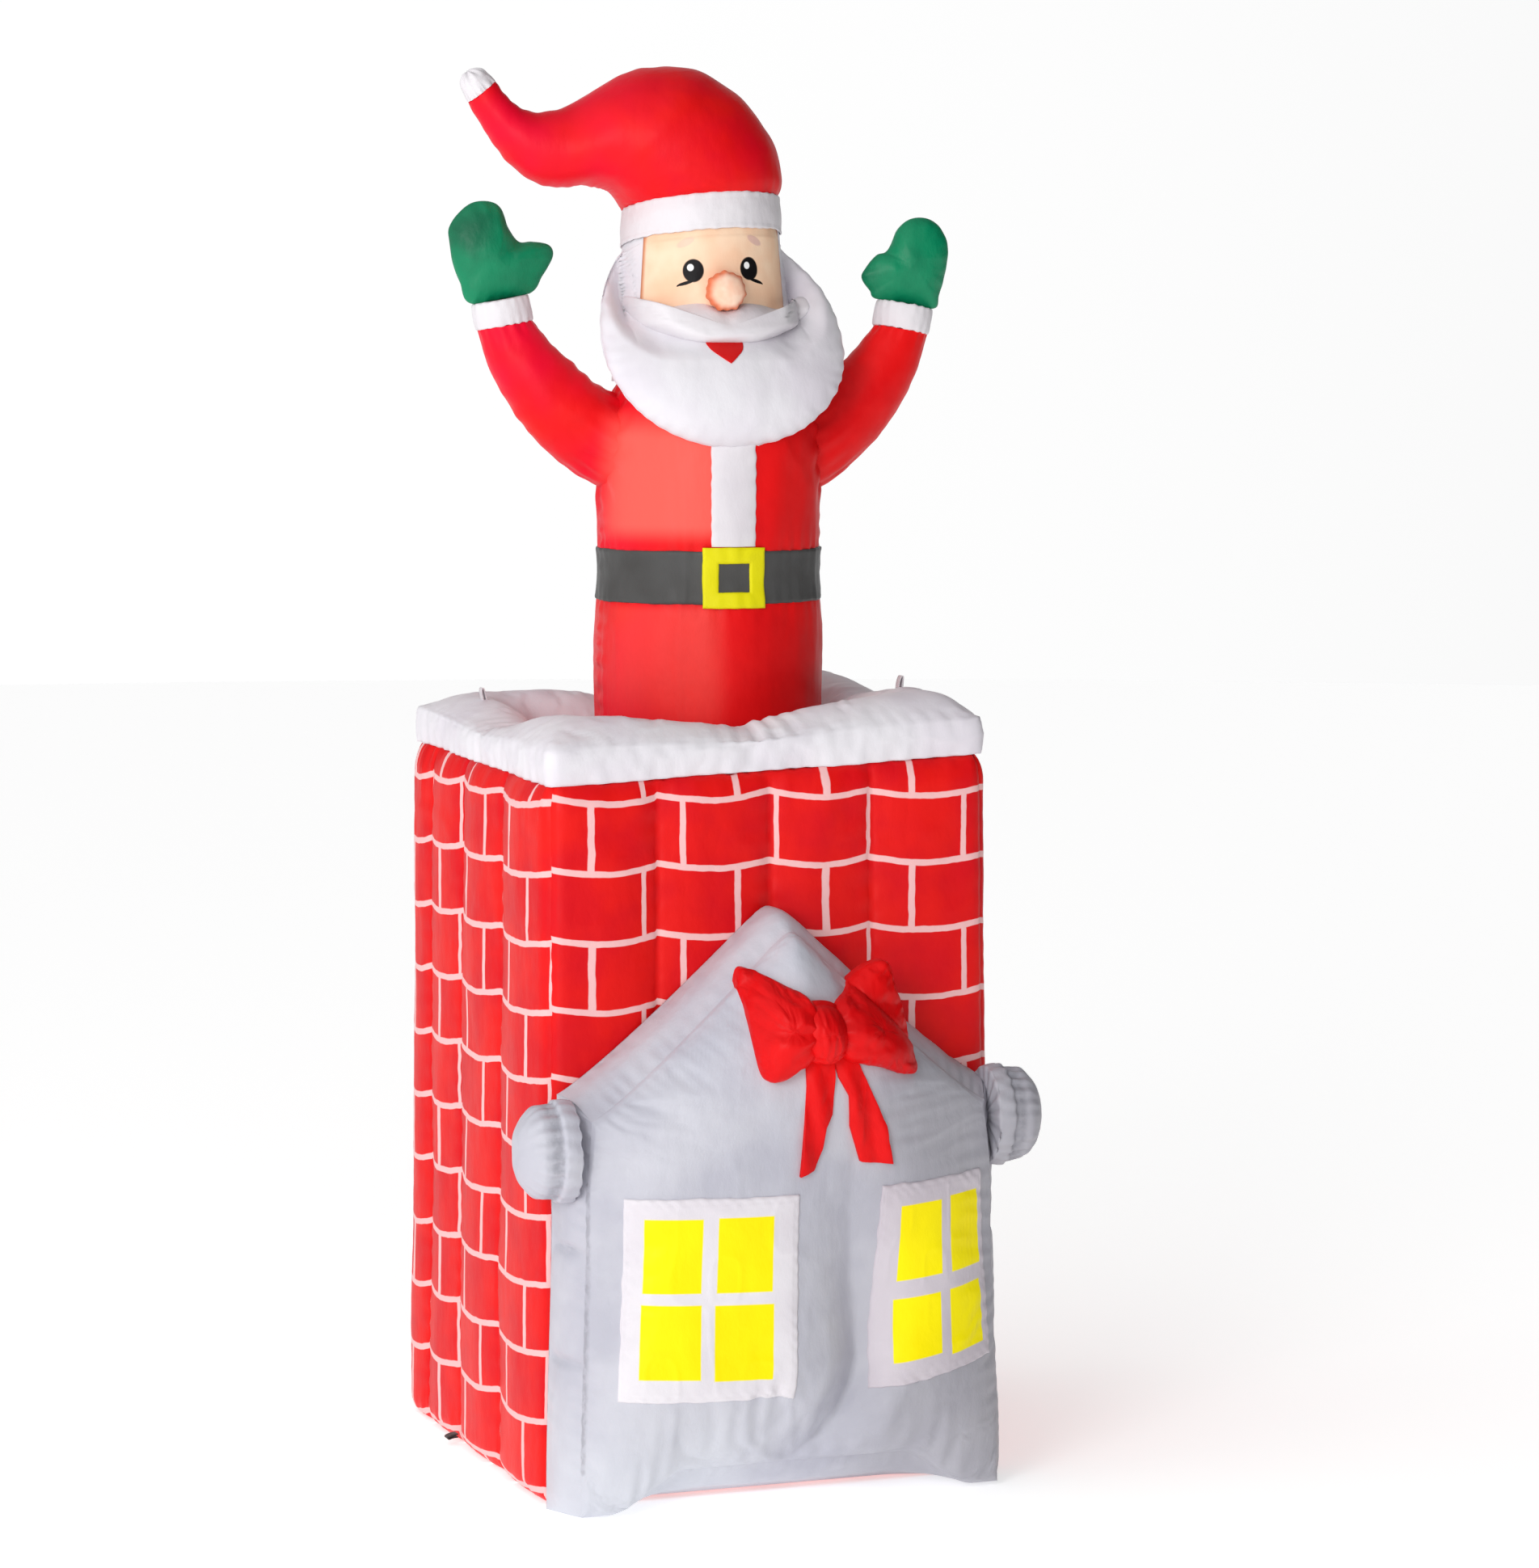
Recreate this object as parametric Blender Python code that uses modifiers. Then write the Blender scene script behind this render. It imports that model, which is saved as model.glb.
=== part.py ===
"""Inflatable yard Santa who stands in a brick chimney with a small house front.

Every piece is a closed solid in metres, +Z up, with the front towards -Y. The origin is the
middle of the chimney's flat underside. Thin cloth pieces keep a small seam gap to what they are
sewn to. The figure's own pieces hang on an empty that turns it in its chimney, and the head's
pieces on a second empty that turns the head a little further.
"""

import math

import bmesh
import bpy
import numpy as np
from mathutils import Matrix, Vector

# Overall fits
SEAM_GAP = 0.0003
CUT_MARGIN = 0.0004
SINK = 0.006

# Chimney: four blown columns a side round an open well
CHIMNEY_HEIGHT = 0.918
CHIMNEY_HALF_FLOOR = 0.300
CHIMNEY_HALF_TOP = 0.288
TOP_RISE_RIGHT = 0.042
TOP_RISE_BACK = 0.022
CHIMNEY_CORNER = 0.024
COLUMNS_PER_SIDE = 4
COLUMN_PUFF = 0.011
POINTS_PER_COLUMN = 4
FOOT_ROUND = 0.012
WELL_HALF = 0.196
WELL_CORNER = 0.040
WELL_FLOOR = 0.100

# Snow rim: a puffed square ring, pinched at the middle of each side
RIM_SEAM_RISE = 0.048
RIM_CREST_RISE = 0.078
RIM_BACK_DROP = 0.040
RIM_PINCH = 0.026
RIM_OUTSET = 0.004
RIM_INSET = 0.010
RIM_CORNER = 0.026
RIM_INNER_CORNER = 0.050
RIM_PINCH_WIDTH = 0.12
RIM_POINTS_PER_SIDE = 12

# Tether loops on the rim and tie-down tabs at the foot
TETHER_WIDTH = 0.012
TETHER_LENGTH = 0.020
TETHER_GAP = 0.0015
TETHER_THICK = 0.0016
TAB_WIDTH = 0.016
TAB_REACH = 0.012
TAB_THICK = 0.003
TAB_BACK = 0.070

# The figure's place and turn
FIGURE_X = 0.022
FIGURE_TURN = math.radians(-6.5)
HEAD_OFFSET_X = -0.009
HEAD_TURN = math.radians(2.0)

# Torso with belt, buckle and placket
TORSO_RADIUS = 0.1465
SHOULDER_START = 1.300
SHOULDER_DROP_RADIUS = 0.020
TORSO_TOP = 1.395
NECK_RADIUS = 0.112
TORSO_SIDES = 36
BELT_BOTTOM = 1.112
BELT_HEIGHT = 0.068
BELT_THICK = 0.0022
BUCKLE_WIDTH = 0.082
BUCKLE_HEIGHT = 0.078
BUCKLE_BORDER = 0.0205
BUCKLE_THICK = 0.0022
PLACKET_WIDTH = 0.060
PLACKET_TOP = 1.325
PLACKET_THICK = 0.0015

# Head tube and its face panel
HEAD_RADIUS_BROW = 0.1030
HEAD_TAPER = 0.080
HEAD_TOP_TUCK = 0.002
HEAD_LEVELS = 6
HEAD_CUTTER_LEVELS = 16
BROW_HEIGHT = 1.580
HEAD_SIDES = 32
FACE_HALF_ANGLE = math.radians(61)
FACE_BOTTOM = 1.462
FACE_THICK = 0.0008
NOSE_HEIGHT = 1.511
NOSE_FORWARD = 0.121
NOSE_RADIUS = 0.0255
NOSE_DEPTH_SHARE = 0.86

# Beard: a bib of elliptical sections that leans forward over the chest
BEARD_MIDDLE = 1.445
BEARD_DOWN = 0.133
BEARD_UP = 0.160
BEARD_HALF_WIDTH = 0.160
BEARD_HALF_DEPTH = 0.050
BEARD_SIDE_SHIFT = 0.005
BEARD_TOP = 1.568
BEARD_LEAN_TOP = -0.012
BEARD_LEAN_MIDDLE = 0.088
BEARD_LEAN_BOTTOM = 0.143
BEARD_SIDES = 28
BEARD_RINGS = 11
FACE_WINDOW = ((0.085, 1.478), (0.098, 1.490), (0.1015, 1.510), (0.104, 1.550), (0.104, 1.600))
FACE_WINDOW_REACH = 0.25

# Moustache and mouth, sewn over the beard
MOUSTACHE_PUFF = 0.030
MOUTH_WIDTH = 0.044
MOUTH_TOP = 1.4435
MOUTH_BOTTOM = 1.418
MOUTH_THICK = 0.0012

# Hat, its band and its tip
BAND_BOTTOM = 1.577
BAND_HEIGHT = 0.046
BAND_THICK = 0.0030
BAND_FRONT_RISE = 0.015
BAND_RIGHT_RISE = 0.005
HAT_SIDES = 20
HAT_STEPS = 16
TIP_LENGTH = 0.034

# Arms, cuffs and mittens
ARM_SIDES = 16
ARM_STEPS = 10
WRIST_X = 0.2685
WRIST_Z = 1.466
SHOULDER_X = 0.085
WRIST_RADIUS = 0.0355
WRIST_LEAN = math.radians(10.5)
CUFF_LENGTH = 0.033
CUFF_RADIUS = 0.0375
LEFT_ARM = (1.0, 0.002)
RIGHT_ARM = (0.955, -0.004)
MITTEN_THICK = 0.027
MITTEN_POINTS = 30
MITTEN_RINGS = 3

# House front: a gusseted pillow on the chimney's front
HOUSE_PEAK = 0.750
HOUSE_EAVE = 0.520
HOUSE_HALF_EAVE = 0.273
HOUSE_HALF_WAIST = 0.269
HOUSE_WAIST = 0.400
HOUSE_HALF_FOOT = 0.297
HOUSE_MIDDLE_X = -0.009
HOUSE_GUSSET = 0.085
HOUSE_PUFF = 0.048
HOUSE_CREASE = 0.026
HOUSE_CREASE_WIDTH = 0.055
HOUSE_CREASE_X = 0.036
HOUSE_FOOT_RISE = 0.050
HOUSE_FOOT_START = 0.50
HOUSE_FOOT_FLAT = 0.035
HOUSE_GABLE_SAG = 1.15
HOUSE_COLUMNS = 16
HOUSE_ROWS = 12

# Eaves: short drums at the house's shoulders
EAVE_RADIUS = 0.064
EAVE_LENGTH = 0.064
EAVE_HEIGHTS = {"left": 0.461, "right": 0.471}
EAVE_DEPTH_SHARE = 0.85
EAVE_SIDES = 16
EAVE_SECTIONS = ((0.0, 0.90), (0.12, 1.0), (0.80, 1.0), (0.95, 0.90), (1.0, 0.70))

# Windows on the house, as (left, right, bottom, top) of each panel
WINDOW_LEFT = (-0.242, -0.018, 0.151, 0.399)
WINDOW_RIGHT = (0.088, 0.246, 0.158, 0.409)
WINDOW_THICK = 0.0030

# Bow on the gable
BOW_X = 0.029
BOW_Z = 0.602
BOW_PUFF = 0.034
KNOT_HALF_WIDTH = 0.032
KNOT_HALF_HEIGHT = 0.037
KNOT_PUFF = 0.044
TAIL_THICK = 0.006

# Mitten outlines from the wrist's middle, outwards and up, with the thumb on the inner side
MITTEN_OUTLINES = {
    "left": [
        (0.036, -0.006), (0.052, 0.022), (0.061, 0.046), (0.065, 0.072), (0.066, 0.090), (0.055, 0.108),
        (0.036, 0.123), (0.013, 0.125), (-0.002, 0.116), (-0.011, 0.092), (-0.025, 0.074), (-0.042, 0.074),
        (-0.064, 0.070), (-0.070, 0.056), (-0.056, 0.030), (-0.036, 0.006),
    ],
    "right": [
        (0.036, -0.006), (0.046, 0.012), (0.054, 0.040), (0.058, 0.068), (0.055, 0.087), (0.043, 0.105),
        (0.026, 0.113), (0.006, 0.111), (-0.010, 0.098), (-0.019, 0.078), (-0.027, 0.068), (-0.039, 0.064),
        (-0.054, 0.047), (-0.059, 0.034), (-0.048, 0.018), (-0.036, 0.006),
    ],
}  # fmt: skip

COLOURS = {
    "brick_red": ((0.78, 0.03, 0.02), 0.55),
    "snow_white": ((0.86, 0.84, 0.86), 0.55),
    "suit_red": ((0.78, 0.02, 0.02), 0.45),
    "belt_grey": ((0.07, 0.065, 0.06), 0.50),
    "buckle_yellow": ((0.75, 0.70, 0.01), 0.45),
    "mitten_green": ((0.01, 0.22, 0.11), 0.45),
    "skin_peach": ((0.95, 0.62, 0.36), 0.45),
    "mouth_red": ((0.60, 0.01, 0.01), 0.45),
    "house_grey": ((0.48, 0.48, 0.54), 0.50),
    "webbing_black": ((0.02, 0.02, 0.02), 0.70),
}


def clear_scene():
    for old in list(bpy.data.objects):
        bpy.data.objects.remove(old, do_unlink=True)


def new_collection(name):
    collection = bpy.data.collections.new(name)
    bpy.context.scene.collection.children.link(collection)
    return collection


def make_material(name):
    colour, roughness = COLOURS[name]
    material = bpy.data.materials.new(name)
    material.use_nodes = True
    shader = material.node_tree.nodes["Principled BSDF"]
    shader.inputs["Base Color"].default_value = (*colour, 1.0)
    shader.inputs["Roughness"].default_value = roughness
    shader.inputs["Metallic"].default_value = 0.0
    return material


clear_scene()
PARTS = new_collection("inflatable_santa")
CUTTERS = new_collection("cutters")
MATERIALS = {name: make_material(name) for name in COLOURS}


def add_object(name, mesh, material, parent=None):
    """Links a new object for this mesh, dressed and parented."""
    obj = bpy.data.objects.new(name, mesh)
    if material is None:
        CUTTERS.objects.link(obj)
        obj.hide_render = True
        obj.display_type = "WIRE"
    else:
        PARTS.objects.link(obj)
        mesh.materials.append(MATERIALS[material])
        mesh.shade_smooth()
        mesh.set_sharp_from_angle(angle=math.radians(40))
    obj.parent = parent
    return obj


def mesh_from(name, points, faces):
    """A mesh with its faces turned outwards, and split the same way on a piece and its cutter."""
    mesh = bpy.data.meshes.new(name)
    mesh.from_pydata([tuple(p) for p in points], [], faces)
    shape = bmesh.new()
    shape.from_mesh(mesh)
    bmesh.ops.triangulate(shape, faces=shape.faces, quad_method="FIXED")
    bmesh.ops.recalc_face_normals(shape, faces=shape.faces)
    shape.to_mesh(mesh)
    shape.free()
    return mesh


def loft(name, rings, material, parent=None):
    """A closed solid through rings of equal point counts, capped flat at both ends."""
    rings = [np.asarray(ring, float) for ring in rings]
    count = len(rings[0])
    faces = []
    for row in range(len(rings) - 1):
        for i in range(count):
            j = (i + 1) % count
            faces.append((row * count + i, row * count + j, (row + 1) * count + j, (row + 1) * count + i))
    last = (len(rings) - 1) * count
    faces.append(tuple(range(count)))
    faces.append(tuple(range(last, last + count)))
    return add_object(name, mesh_from(name, np.concatenate(rings), faces), material, parent)


def sheet(name, surface, columns, rows, thickness, material, parent=None, hole=None):
    """A thin plate over surface(u, v) with u and v from 0 to 1, thickened away from it.

    hole is (first, last) of the grid cells that are left open, on both directions.
    """
    shape = bmesh.new()
    grid = [
        [shape.verts.new(surface(i / columns, j / rows)) for i in range(columns + 1)]
        for j in range(rows + 1)
    ]
    for j in range(rows):
        for i in range(columns):
            if hole and hole[0] <= i <= hole[1] and hole[0] <= j <= hole[1]:
                continue
            shape.faces.new((grid[j][i], grid[j][i + 1], grid[j + 1][i + 1], grid[j + 1][i]))
    mesh = bpy.data.meshes.new(name)
    shape.to_mesh(mesh)
    shape.free()
    obj = add_object(name, mesh, material, parent)
    solid = obj.modifiers.new("thickness", "SOLIDIFY")
    solid.thickness = thickness
    solid.offset = 1.0
    return obj


def cut(obj, cutter):
    boolean = obj.modifiers.new("clear of " + cutter.name, "BOOLEAN")
    boolean.operation = "DIFFERENCE"
    boolean.object = cutter
    return obj


def through(knots, count):
    """Evenly spaced points on a smooth curve through the knots."""
    knots = np.asarray(knots, float)
    first = 2 * knots[0] - knots[1]
    last = 2 * knots[-1] - knots[-2]
    padded = np.vstack([first, knots, last])
    result = []
    for s in np.linspace(0, len(knots) - 1, count):
        k = min(int(s), len(knots) - 2)
        t = s - k
        a, b, c, d = padded[k : k + 4]
        result.append(
            0.5
            * (2 * b + (c - a) * t + (2 * a - 5 * b + 4 * c - d) * t**2 + (3 * b - a - 3 * c + d) * t**3)
        )
    return np.array(result)


def round_loop(knots, count):
    """Evenly spaced points on a smooth closed curve through the knots."""
    knots = np.asarray(knots, float)
    wrapped = np.vstack([knots[-1:], knots, knots[:2]])
    result = []
    for s in np.arange(count) * len(knots) / count:
        k = int(s)
        t = s - k
        a, b, c, d = wrapped[k : k + 4]
        result.append(
            0.5
            * (2 * b + (c - a) * t + (2 * a - 5 * b + 4 * c - d) * t**2 + (3 * b - a - 3 * c + d) * t**3)
        )
    return np.array(result)


def ease(t):
    t = min(max(t, 0.0), 1.0)
    return t * t * (3 - 2 * t)


def square_ring(half, corner, z, steps, puff=0.0, lobes=1):
    """A square outline with round corners and, on each side, lobes that puff out by puff."""
    ring = []
    straight = half - corner
    for side in range(4):
        turn = Matrix.Rotation(side * math.pi / 2, 3, "Z")
        for i in range(steps):
            t = i / steps
            out = puff * abs(math.sin(lobes * math.pi * t)) ** 0.8
            along = -half + 2 * half * t
            if abs(along) <= straight:
                point = Vector((along, -half - out, z))
            else:
                over = (abs(along) - straight) / corner
                angle = over * math.pi / 4
                x = straight + corner * math.sin(angle)
                y = straight + corner * math.cos(angle)
                point = Vector((math.copysign(x, along), -y - out * math.cos(angle), z))
            ring.append(turn @ point)
    return ring


def chimney_half(z):
    return CHIMNEY_HALF_FLOOR + (CHIMNEY_HALF_TOP - CHIMNEY_HALF_FLOOR) * z / CHIMNEY_HEIGHT


def top_rise(x, y):
    """The chimney's top slopes a little: higher on the right and at the back."""
    return TOP_RISE_RIGHT * x + TOP_RISE_BACK * y


def build_chimney():
    """The brick tube: an outer skin of columns, a flat rim seat and a plain inner well."""
    steps = COLUMNS_PER_SIDE * POINTS_PER_COLUMN
    levels = [
        (0.0, FOOT_ROUND, 0.2),
        (FOOT_ROUND * 0.35, FOOT_ROUND * 0.3, 0.6),
        (FOOT_ROUND, 0.0, 1.0),
        (CHIMNEY_HEIGHT * 0.5, 0.0, 1.0),
        (CHIMNEY_HEIGHT - 0.03, 0.0, 1.0),
        (CHIMNEY_HEIGHT, 0.004, 0.45),
    ]
    rings = [
        square_ring(chimney_half(z) - inset, CHIMNEY_CORNER, z, steps, COLUMN_PUFF * share, COLUMNS_PER_SIDE)
        for z, inset, share in levels
    ]
    rings.append(square_ring(WELL_HALF, WELL_CORNER, CHIMNEY_HEIGHT, steps))
    for ring in rings[-4:]:
        for point in ring:
            point.z += top_rise(point.x, point.y)
    rings.append(square_ring(WELL_HALF, WELL_CORNER, WELL_FLOOR, steps))
    return loft("chimney", rings, "brick_red")


def rim_crest(pinch, y):
    """The height of the rim's crest: lower where a side is pinched, and towards the back."""
    return CHIMNEY_HEIGHT + RIM_CREST_RISE - RIM_PINCH * pinch - RIM_BACK_DROP * (y + WELL_HALF)


def rim_halves():
    """Half the rim's width over its outer and its inner edge."""
    return chimney_half(CHIMNEY_HEIGHT) + RIM_OUTSET, WELL_HALF - RIM_INSET


def rim_profile(pinch, y):
    """Points round the rim's section, as (share from inner to outer edge, height)."""
    low = CHIMNEY_HEIGHT + SEAM_GAP
    crest = rim_crest(pinch, y)
    seam = CHIMNEY_HEIGHT + RIM_SEAM_RISE - 0.3 * RIM_PINCH * pinch
    return [
        (0.93, low),
        (1.0, low + 0.006),
        (1.0 + 0.04 * (1 - pinch), (low + seam) / 2),
        (0.985, seam),
        (0.80, seam + 0.62 * (crest - seam)),
        (0.50, crest),
        (0.20, seam + 0.70 * (crest - seam)),
        (0.0, seam - 0.012),
        (0.0, low + 0.012),
        (0.12, low),
    ]


def build_rim():
    """Sections of the ring, worked out side by side and joined into one closed tube."""
    outer_half, inner_half = rim_halves()
    outer = square_ring(outer_half, RIM_CORNER, 0.0, RIM_POINTS_PER_SIDE)
    inner = square_ring(inner_half, RIM_INNER_CORNER, 0.0, RIM_POINTS_PER_SIDE)
    points = []
    for i, (out, into) in enumerate(zip(outer, inner)):
        t = (i % RIM_POINTS_PER_SIDE) / RIM_POINTS_PER_SIDE
        pinch = math.exp(-(((t - 0.5) / RIM_PINCH_WIDTH) ** 2))
        for share, z in rim_profile(pinch, into.y):
            place = into.lerp(out, share)
            points.append((place.x, place.y, z + top_rise(place.x, place.y)))
    size = len(rim_profile(0.0, 0.0))
    count = len(outer)
    faces = []
    for i in range(count):
        for k in range(size):
            a, b = i * size, ((i + 1) % count) * size
            n = (k + 1) % size
            faces.append((a + k, b + k, b + n, a + n))
    return add_object("snow_rim", mesh_from("snow_rim", points, faces), "snow_white")


def build_tethers():
    """Folded webbing loops that stand on the rim's crest, at the middle of its left and right."""
    out = 0.5 * sum(rim_halves())
    for name, side in (("tether_left", -1), ("tether_right", 1)):
        shape = bmesh.new()
        bmesh.ops.create_cube(shape, size=1.0)
        mesh = bpy.data.meshes.new(name)
        shape.to_mesh(mesh)
        shape.free()
        mesh.transform(Matrix.Diagonal((TETHER_THICK, TETHER_WIDTH, TETHER_LENGTH, 1.0)))
        obj = add_object(name, mesh, "snow_white")
        foot = rim_crest(1.0, 0.0) + top_rise(side * out, 0.0) + TETHER_GAP
        obj.location = (side * out, 0.0, foot + 0.5 * TETHER_LENGTH)
        soften(obj, 0.3 * TETHER_THICK)


def build_tabs():
    """Black tie-down tabs, sewn flat to the foot of the chimney on both sides."""
    for name, side in (("tie_tab_left", -1), ("tie_tab_right", 1)):
        shape = bmesh.new()
        bmesh.ops.create_cube(shape, size=1.0)
        mesh = bpy.data.meshes.new(name)
        shape.to_mesh(mesh)
        shape.free()
        mesh.transform(Matrix.Diagonal((TAB_REACH, TAB_WIDTH, TAB_THICK, 1.0)))
        obj = add_object(name, mesh, "webbing_black")
        out = chimney_half(0.0) + COLUMN_PUFF + SEAM_GAP + 0.5 * TAB_REACH
        obj.location = (side * out, TAB_BACK, FOOT_ROUND)
        soften(obj, 0.25 * TAB_THICK)


def soften(obj, width):
    bevel = obj.modifiers.new("soft edges", "BEVEL")
    bevel.width = width
    bevel.segments = 1


def circle(radius, z, sides, tilt=None):
    """A level ring, or one whose height tilt(angle) gives. Angle 0 is the front."""
    ring = []
    for i in range(sides):
        a = 2 * math.pi * i / sides
        height = tilt(a) if tilt else z
        ring.append((radius * math.sin(a), -radius * math.cos(a), height))
    return ring


def torso_profile(extra):
    drop = SHOULDER_DROP_RADIUS
    return [
        (TORSO_RADIUS + extra, WELL_FLOOR + SEAM_GAP),
        (TORSO_RADIUS + extra, BELT_BOTTOM),
        (TORSO_RADIUS + extra, SHOULDER_START),
        (TORSO_RADIUS - 0.25 * drop + extra, SHOULDER_START + 0.030),
        (TORSO_RADIUS - 0.80 * drop + extra, SHOULDER_START + 0.062),
        (NECK_RADIUS + extra, TORSO_TOP - 0.006 + extra),
        (NECK_RADIUS - 0.012 + extra, TORSO_TOP + extra),
    ]


def build_torso(figure):
    rings = [circle(r, z, TORSO_SIDES) for r, z in torso_profile(0.0)]
    torso = loft("torso", rings, "suit_red", figure)
    rings = [circle(r, z, TORSO_SIDES) for r, z in torso_profile(SEAM_GAP + CUT_MARGIN)]
    return torso, loft("torso_cutter", rings, None, figure)


def on_torso(angle, z, proud):
    r = TORSO_RADIUS + proud
    return (r * math.sin(angle), -r * math.cos(angle), z)


def build_belt(figure):
    """A closed band round the torso, then the buckle and the placket on its front."""
    inner = TORSO_RADIUS + SEAM_GAP
    outer = inner + BELT_THICK
    top = BELT_BOTTOM + BELT_HEIGHT
    section = ((inner, BELT_BOTTOM), (outer, BELT_BOTTOM), (outer, top), (inner, top))
    ring_solid("belt", section, TORSO_SIDES, "belt_grey", figure)
    proud = SEAM_GAP + BELT_THICK + SEAM_GAP
    half = 0.5 * BUCKLE_WIDTH / TORSO_RADIUS
    edge = BUCKLE_BORDER / BUCKLE_WIDTH
    stops = (0.0, edge / 2, edge, 0.5, 1 - edge, 1 - edge / 2, 1.0)
    cells = len(stops) - 1
    bottom = BELT_BOTTOM + 0.5 * (BELT_HEIGHT - BUCKLE_HEIGHT)

    def buckle_face(u, v):
        across = stops[round(u * cells)]
        up = stops[round(v * cells)]
        return on_torso(-half + 2 * half * across, bottom + BUCKLE_HEIGHT * up, proud)

    sheet("buckle", buckle_face, cells, cells, BUCKLE_THICK, "buckle_yellow", figure, hole=(2, 3))
    reach = 0.5 * PLACKET_WIDTH / TORSO_RADIUS
    base = max(top, bottom + BUCKLE_HEIGHT) + SEAM_GAP

    def placket_face(u, v):
        height = base + (PLACKET_TOP - base) * v
        slope = ease((height - SHOULDER_START) / 0.03) * 0.25 * SHOULDER_DROP_RADIUS
        return on_torso(-reach + 2 * reach * u, height, SEAM_GAP + CUT_MARGIN - slope)

    return sheet("placket", placket_face, 4, 6, PLACKET_THICK, "snow_white", figure)


def ring_solid(name, section, sides, material, parent, rise=None):
    """A section of (radius, height) points carried round the Z axis, with rise(angle) added."""
    points, faces = [], []
    size = len(section)
    for i in range(sides):
        a = 2 * math.pi * i / sides
        lift = rise(a) if rise else 0.0
        points += [(r * math.sin(a), -r * math.cos(a), z + lift) for r, z in section]
        for k in range(size):
            here, there = i * size, ((i + 1) % sides) * size
            n = (k + 1) % size
            faces.append((here + k, there + k, there + n, here + n))
    return add_object(name, mesh_from(name, points, faces), material, parent)


def band_rise(angle):
    """The hat band's tilt: higher in front and a little higher on the right."""
    return BAND_FRONT_RISE * math.cos(angle) + BAND_RIGHT_RISE * math.sin(angle)


def head_radius(z):
    return HEAD_RADIUS_BROW + HEAD_TAPER * (BROW_HEIGHT - z)


def head_rings(extra, face_extra, sides, levels):
    """The head tube from the neck to the top of the hat band, with a tilted top."""
    rings = []
    top = BAND_BOTTOM + BAND_HEIGHT - HEAD_TOP_TUCK
    for share in (level / levels for level in range(levels + 1)):
        low = TORSO_TOP + SEAM_GAP - extra
        ring = []
        for i in range(sides):
            a = 2 * math.pi * i / sides
            z = low + (top + band_rise(a) + extra - low) * share
            signed = (a + math.pi) % (2 * math.pi) - math.pi
            on_face = face_extra if abs(signed) < FACE_HALF_ANGLE + 0.16 else 0.0
            r = head_radius(z) + extra + on_face
            if share == 0.0:
                r -= 0.006
            ring.append((r * math.sin(a), -r * math.cos(a), z))
        rings.append(ring)
    return rings


def build_head(head):
    tube = loft("head", head_rings(0.0, 0.0, HEAD_SIDES, HEAD_LEVELS), "snow_white", head)
    clear = SEAM_GAP + CUT_MARGIN
    wider = head_rings(clear, FACE_THICK + clear, 2 * HEAD_SIDES, HEAD_CUTTER_LEVELS)
    cutter = loft("head_cutter", wider, None, head)

    def face_surface(u, v):
        a = FACE_HALF_ANGLE * (2 * u - 1)
        top = BAND_BOTTOM + band_rise(a) - SEAM_GAP
        z = FACE_BOTTOM + (top - FACE_BOTTOM) * v
        r = head_radius(z) + SEAM_GAP + CUT_MARGIN
        return (r * math.sin(a), -r * math.cos(a), z)

    sheet("face", face_surface, 14, 6, FACE_THICK, "skin_peach", head)
    return tube, cutter


def beard_section(z):
    """(half width, half depth, forward place) of the beard at this height."""
    t = (z - BEARD_MIDDLE) / (BEARD_UP if z > BEARD_MIDDLE else BEARD_DOWN)
    width = BEARD_HALF_WIDTH * math.sqrt(max(0.0, 1 - t * t))
    depth = BEARD_HALF_DEPTH * math.sqrt(max(0.0, 1 - abs(t) ** 2.6))
    if z > BEARD_MIDDLE:
        s = (z - BEARD_MIDDLE) / (BEARD_TOP - BEARD_MIDDLE)
        forward = BEARD_LEAN_MIDDLE + (BEARD_LEAN_TOP - BEARD_LEAN_MIDDLE) * (0.65 * s + 0.35 * s * s)
    else:
        s = (BEARD_MIDDLE - z) / BEARD_DOWN
        forward = BEARD_LEAN_MIDDLE + (BEARD_LEAN_BOTTOM - BEARD_LEAN_MIDDLE) * (1.5 * s - 0.5 * s * s)
    return width, depth, forward


def beard_front(x, z):
    """The y of the beard's front at a place, in the head's frame."""
    width, depth, forward = beard_section(z)
    across = min(1.0, abs(x - BEARD_SIDE_SHIFT) / max(width, 1e-6))
    return -(forward + depth * math.sqrt(1 - across * across))


def beard_rings(extra):
    rings = []
    for i in range(BEARD_RINGS):
        t = i / (BEARD_RINGS - 1)
        low = BEARD_MIDDLE - BEARD_DOWN * 0.997
        z = low + (BEARD_TOP - low) * (1 - math.cos(math.pi * t * 0.80)) / (1 - math.cos(math.pi * 0.80))
        width, depth, forward = beard_section(z)
        lift = extra * (2 * t - 1)
        ring = []
        for k in range(BEARD_SIDES):
            a = 2 * math.pi * k / BEARD_SIDES
            x = BEARD_SIDE_SHIFT + (width + extra) * math.sin(a)
            ring.append((x, -forward - (depth + extra) * math.cos(a), z + lift))
        rings.append(ring)
    return rings


def build_beard(head, head_cutter):
    beard = loft("beard", beard_rings(0.0), "snow_white", head)
    outline = [(x, z) for x, z in FACE_WINDOW] + [(-x, z) for x, z in reversed(FACE_WINDOW)]
    rings = [[(x, y, z) for x, z in outline] for y in (-FACE_WINDOW_REACH, 0.0)]
    cut(beard, loft("face_window", rings, None, head))
    cut(beard, head_cutter)
    return beard, loft("beard_cutter", beard_rings(SEAM_GAP + 2 * CUT_MARGIN), None, head)


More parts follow.
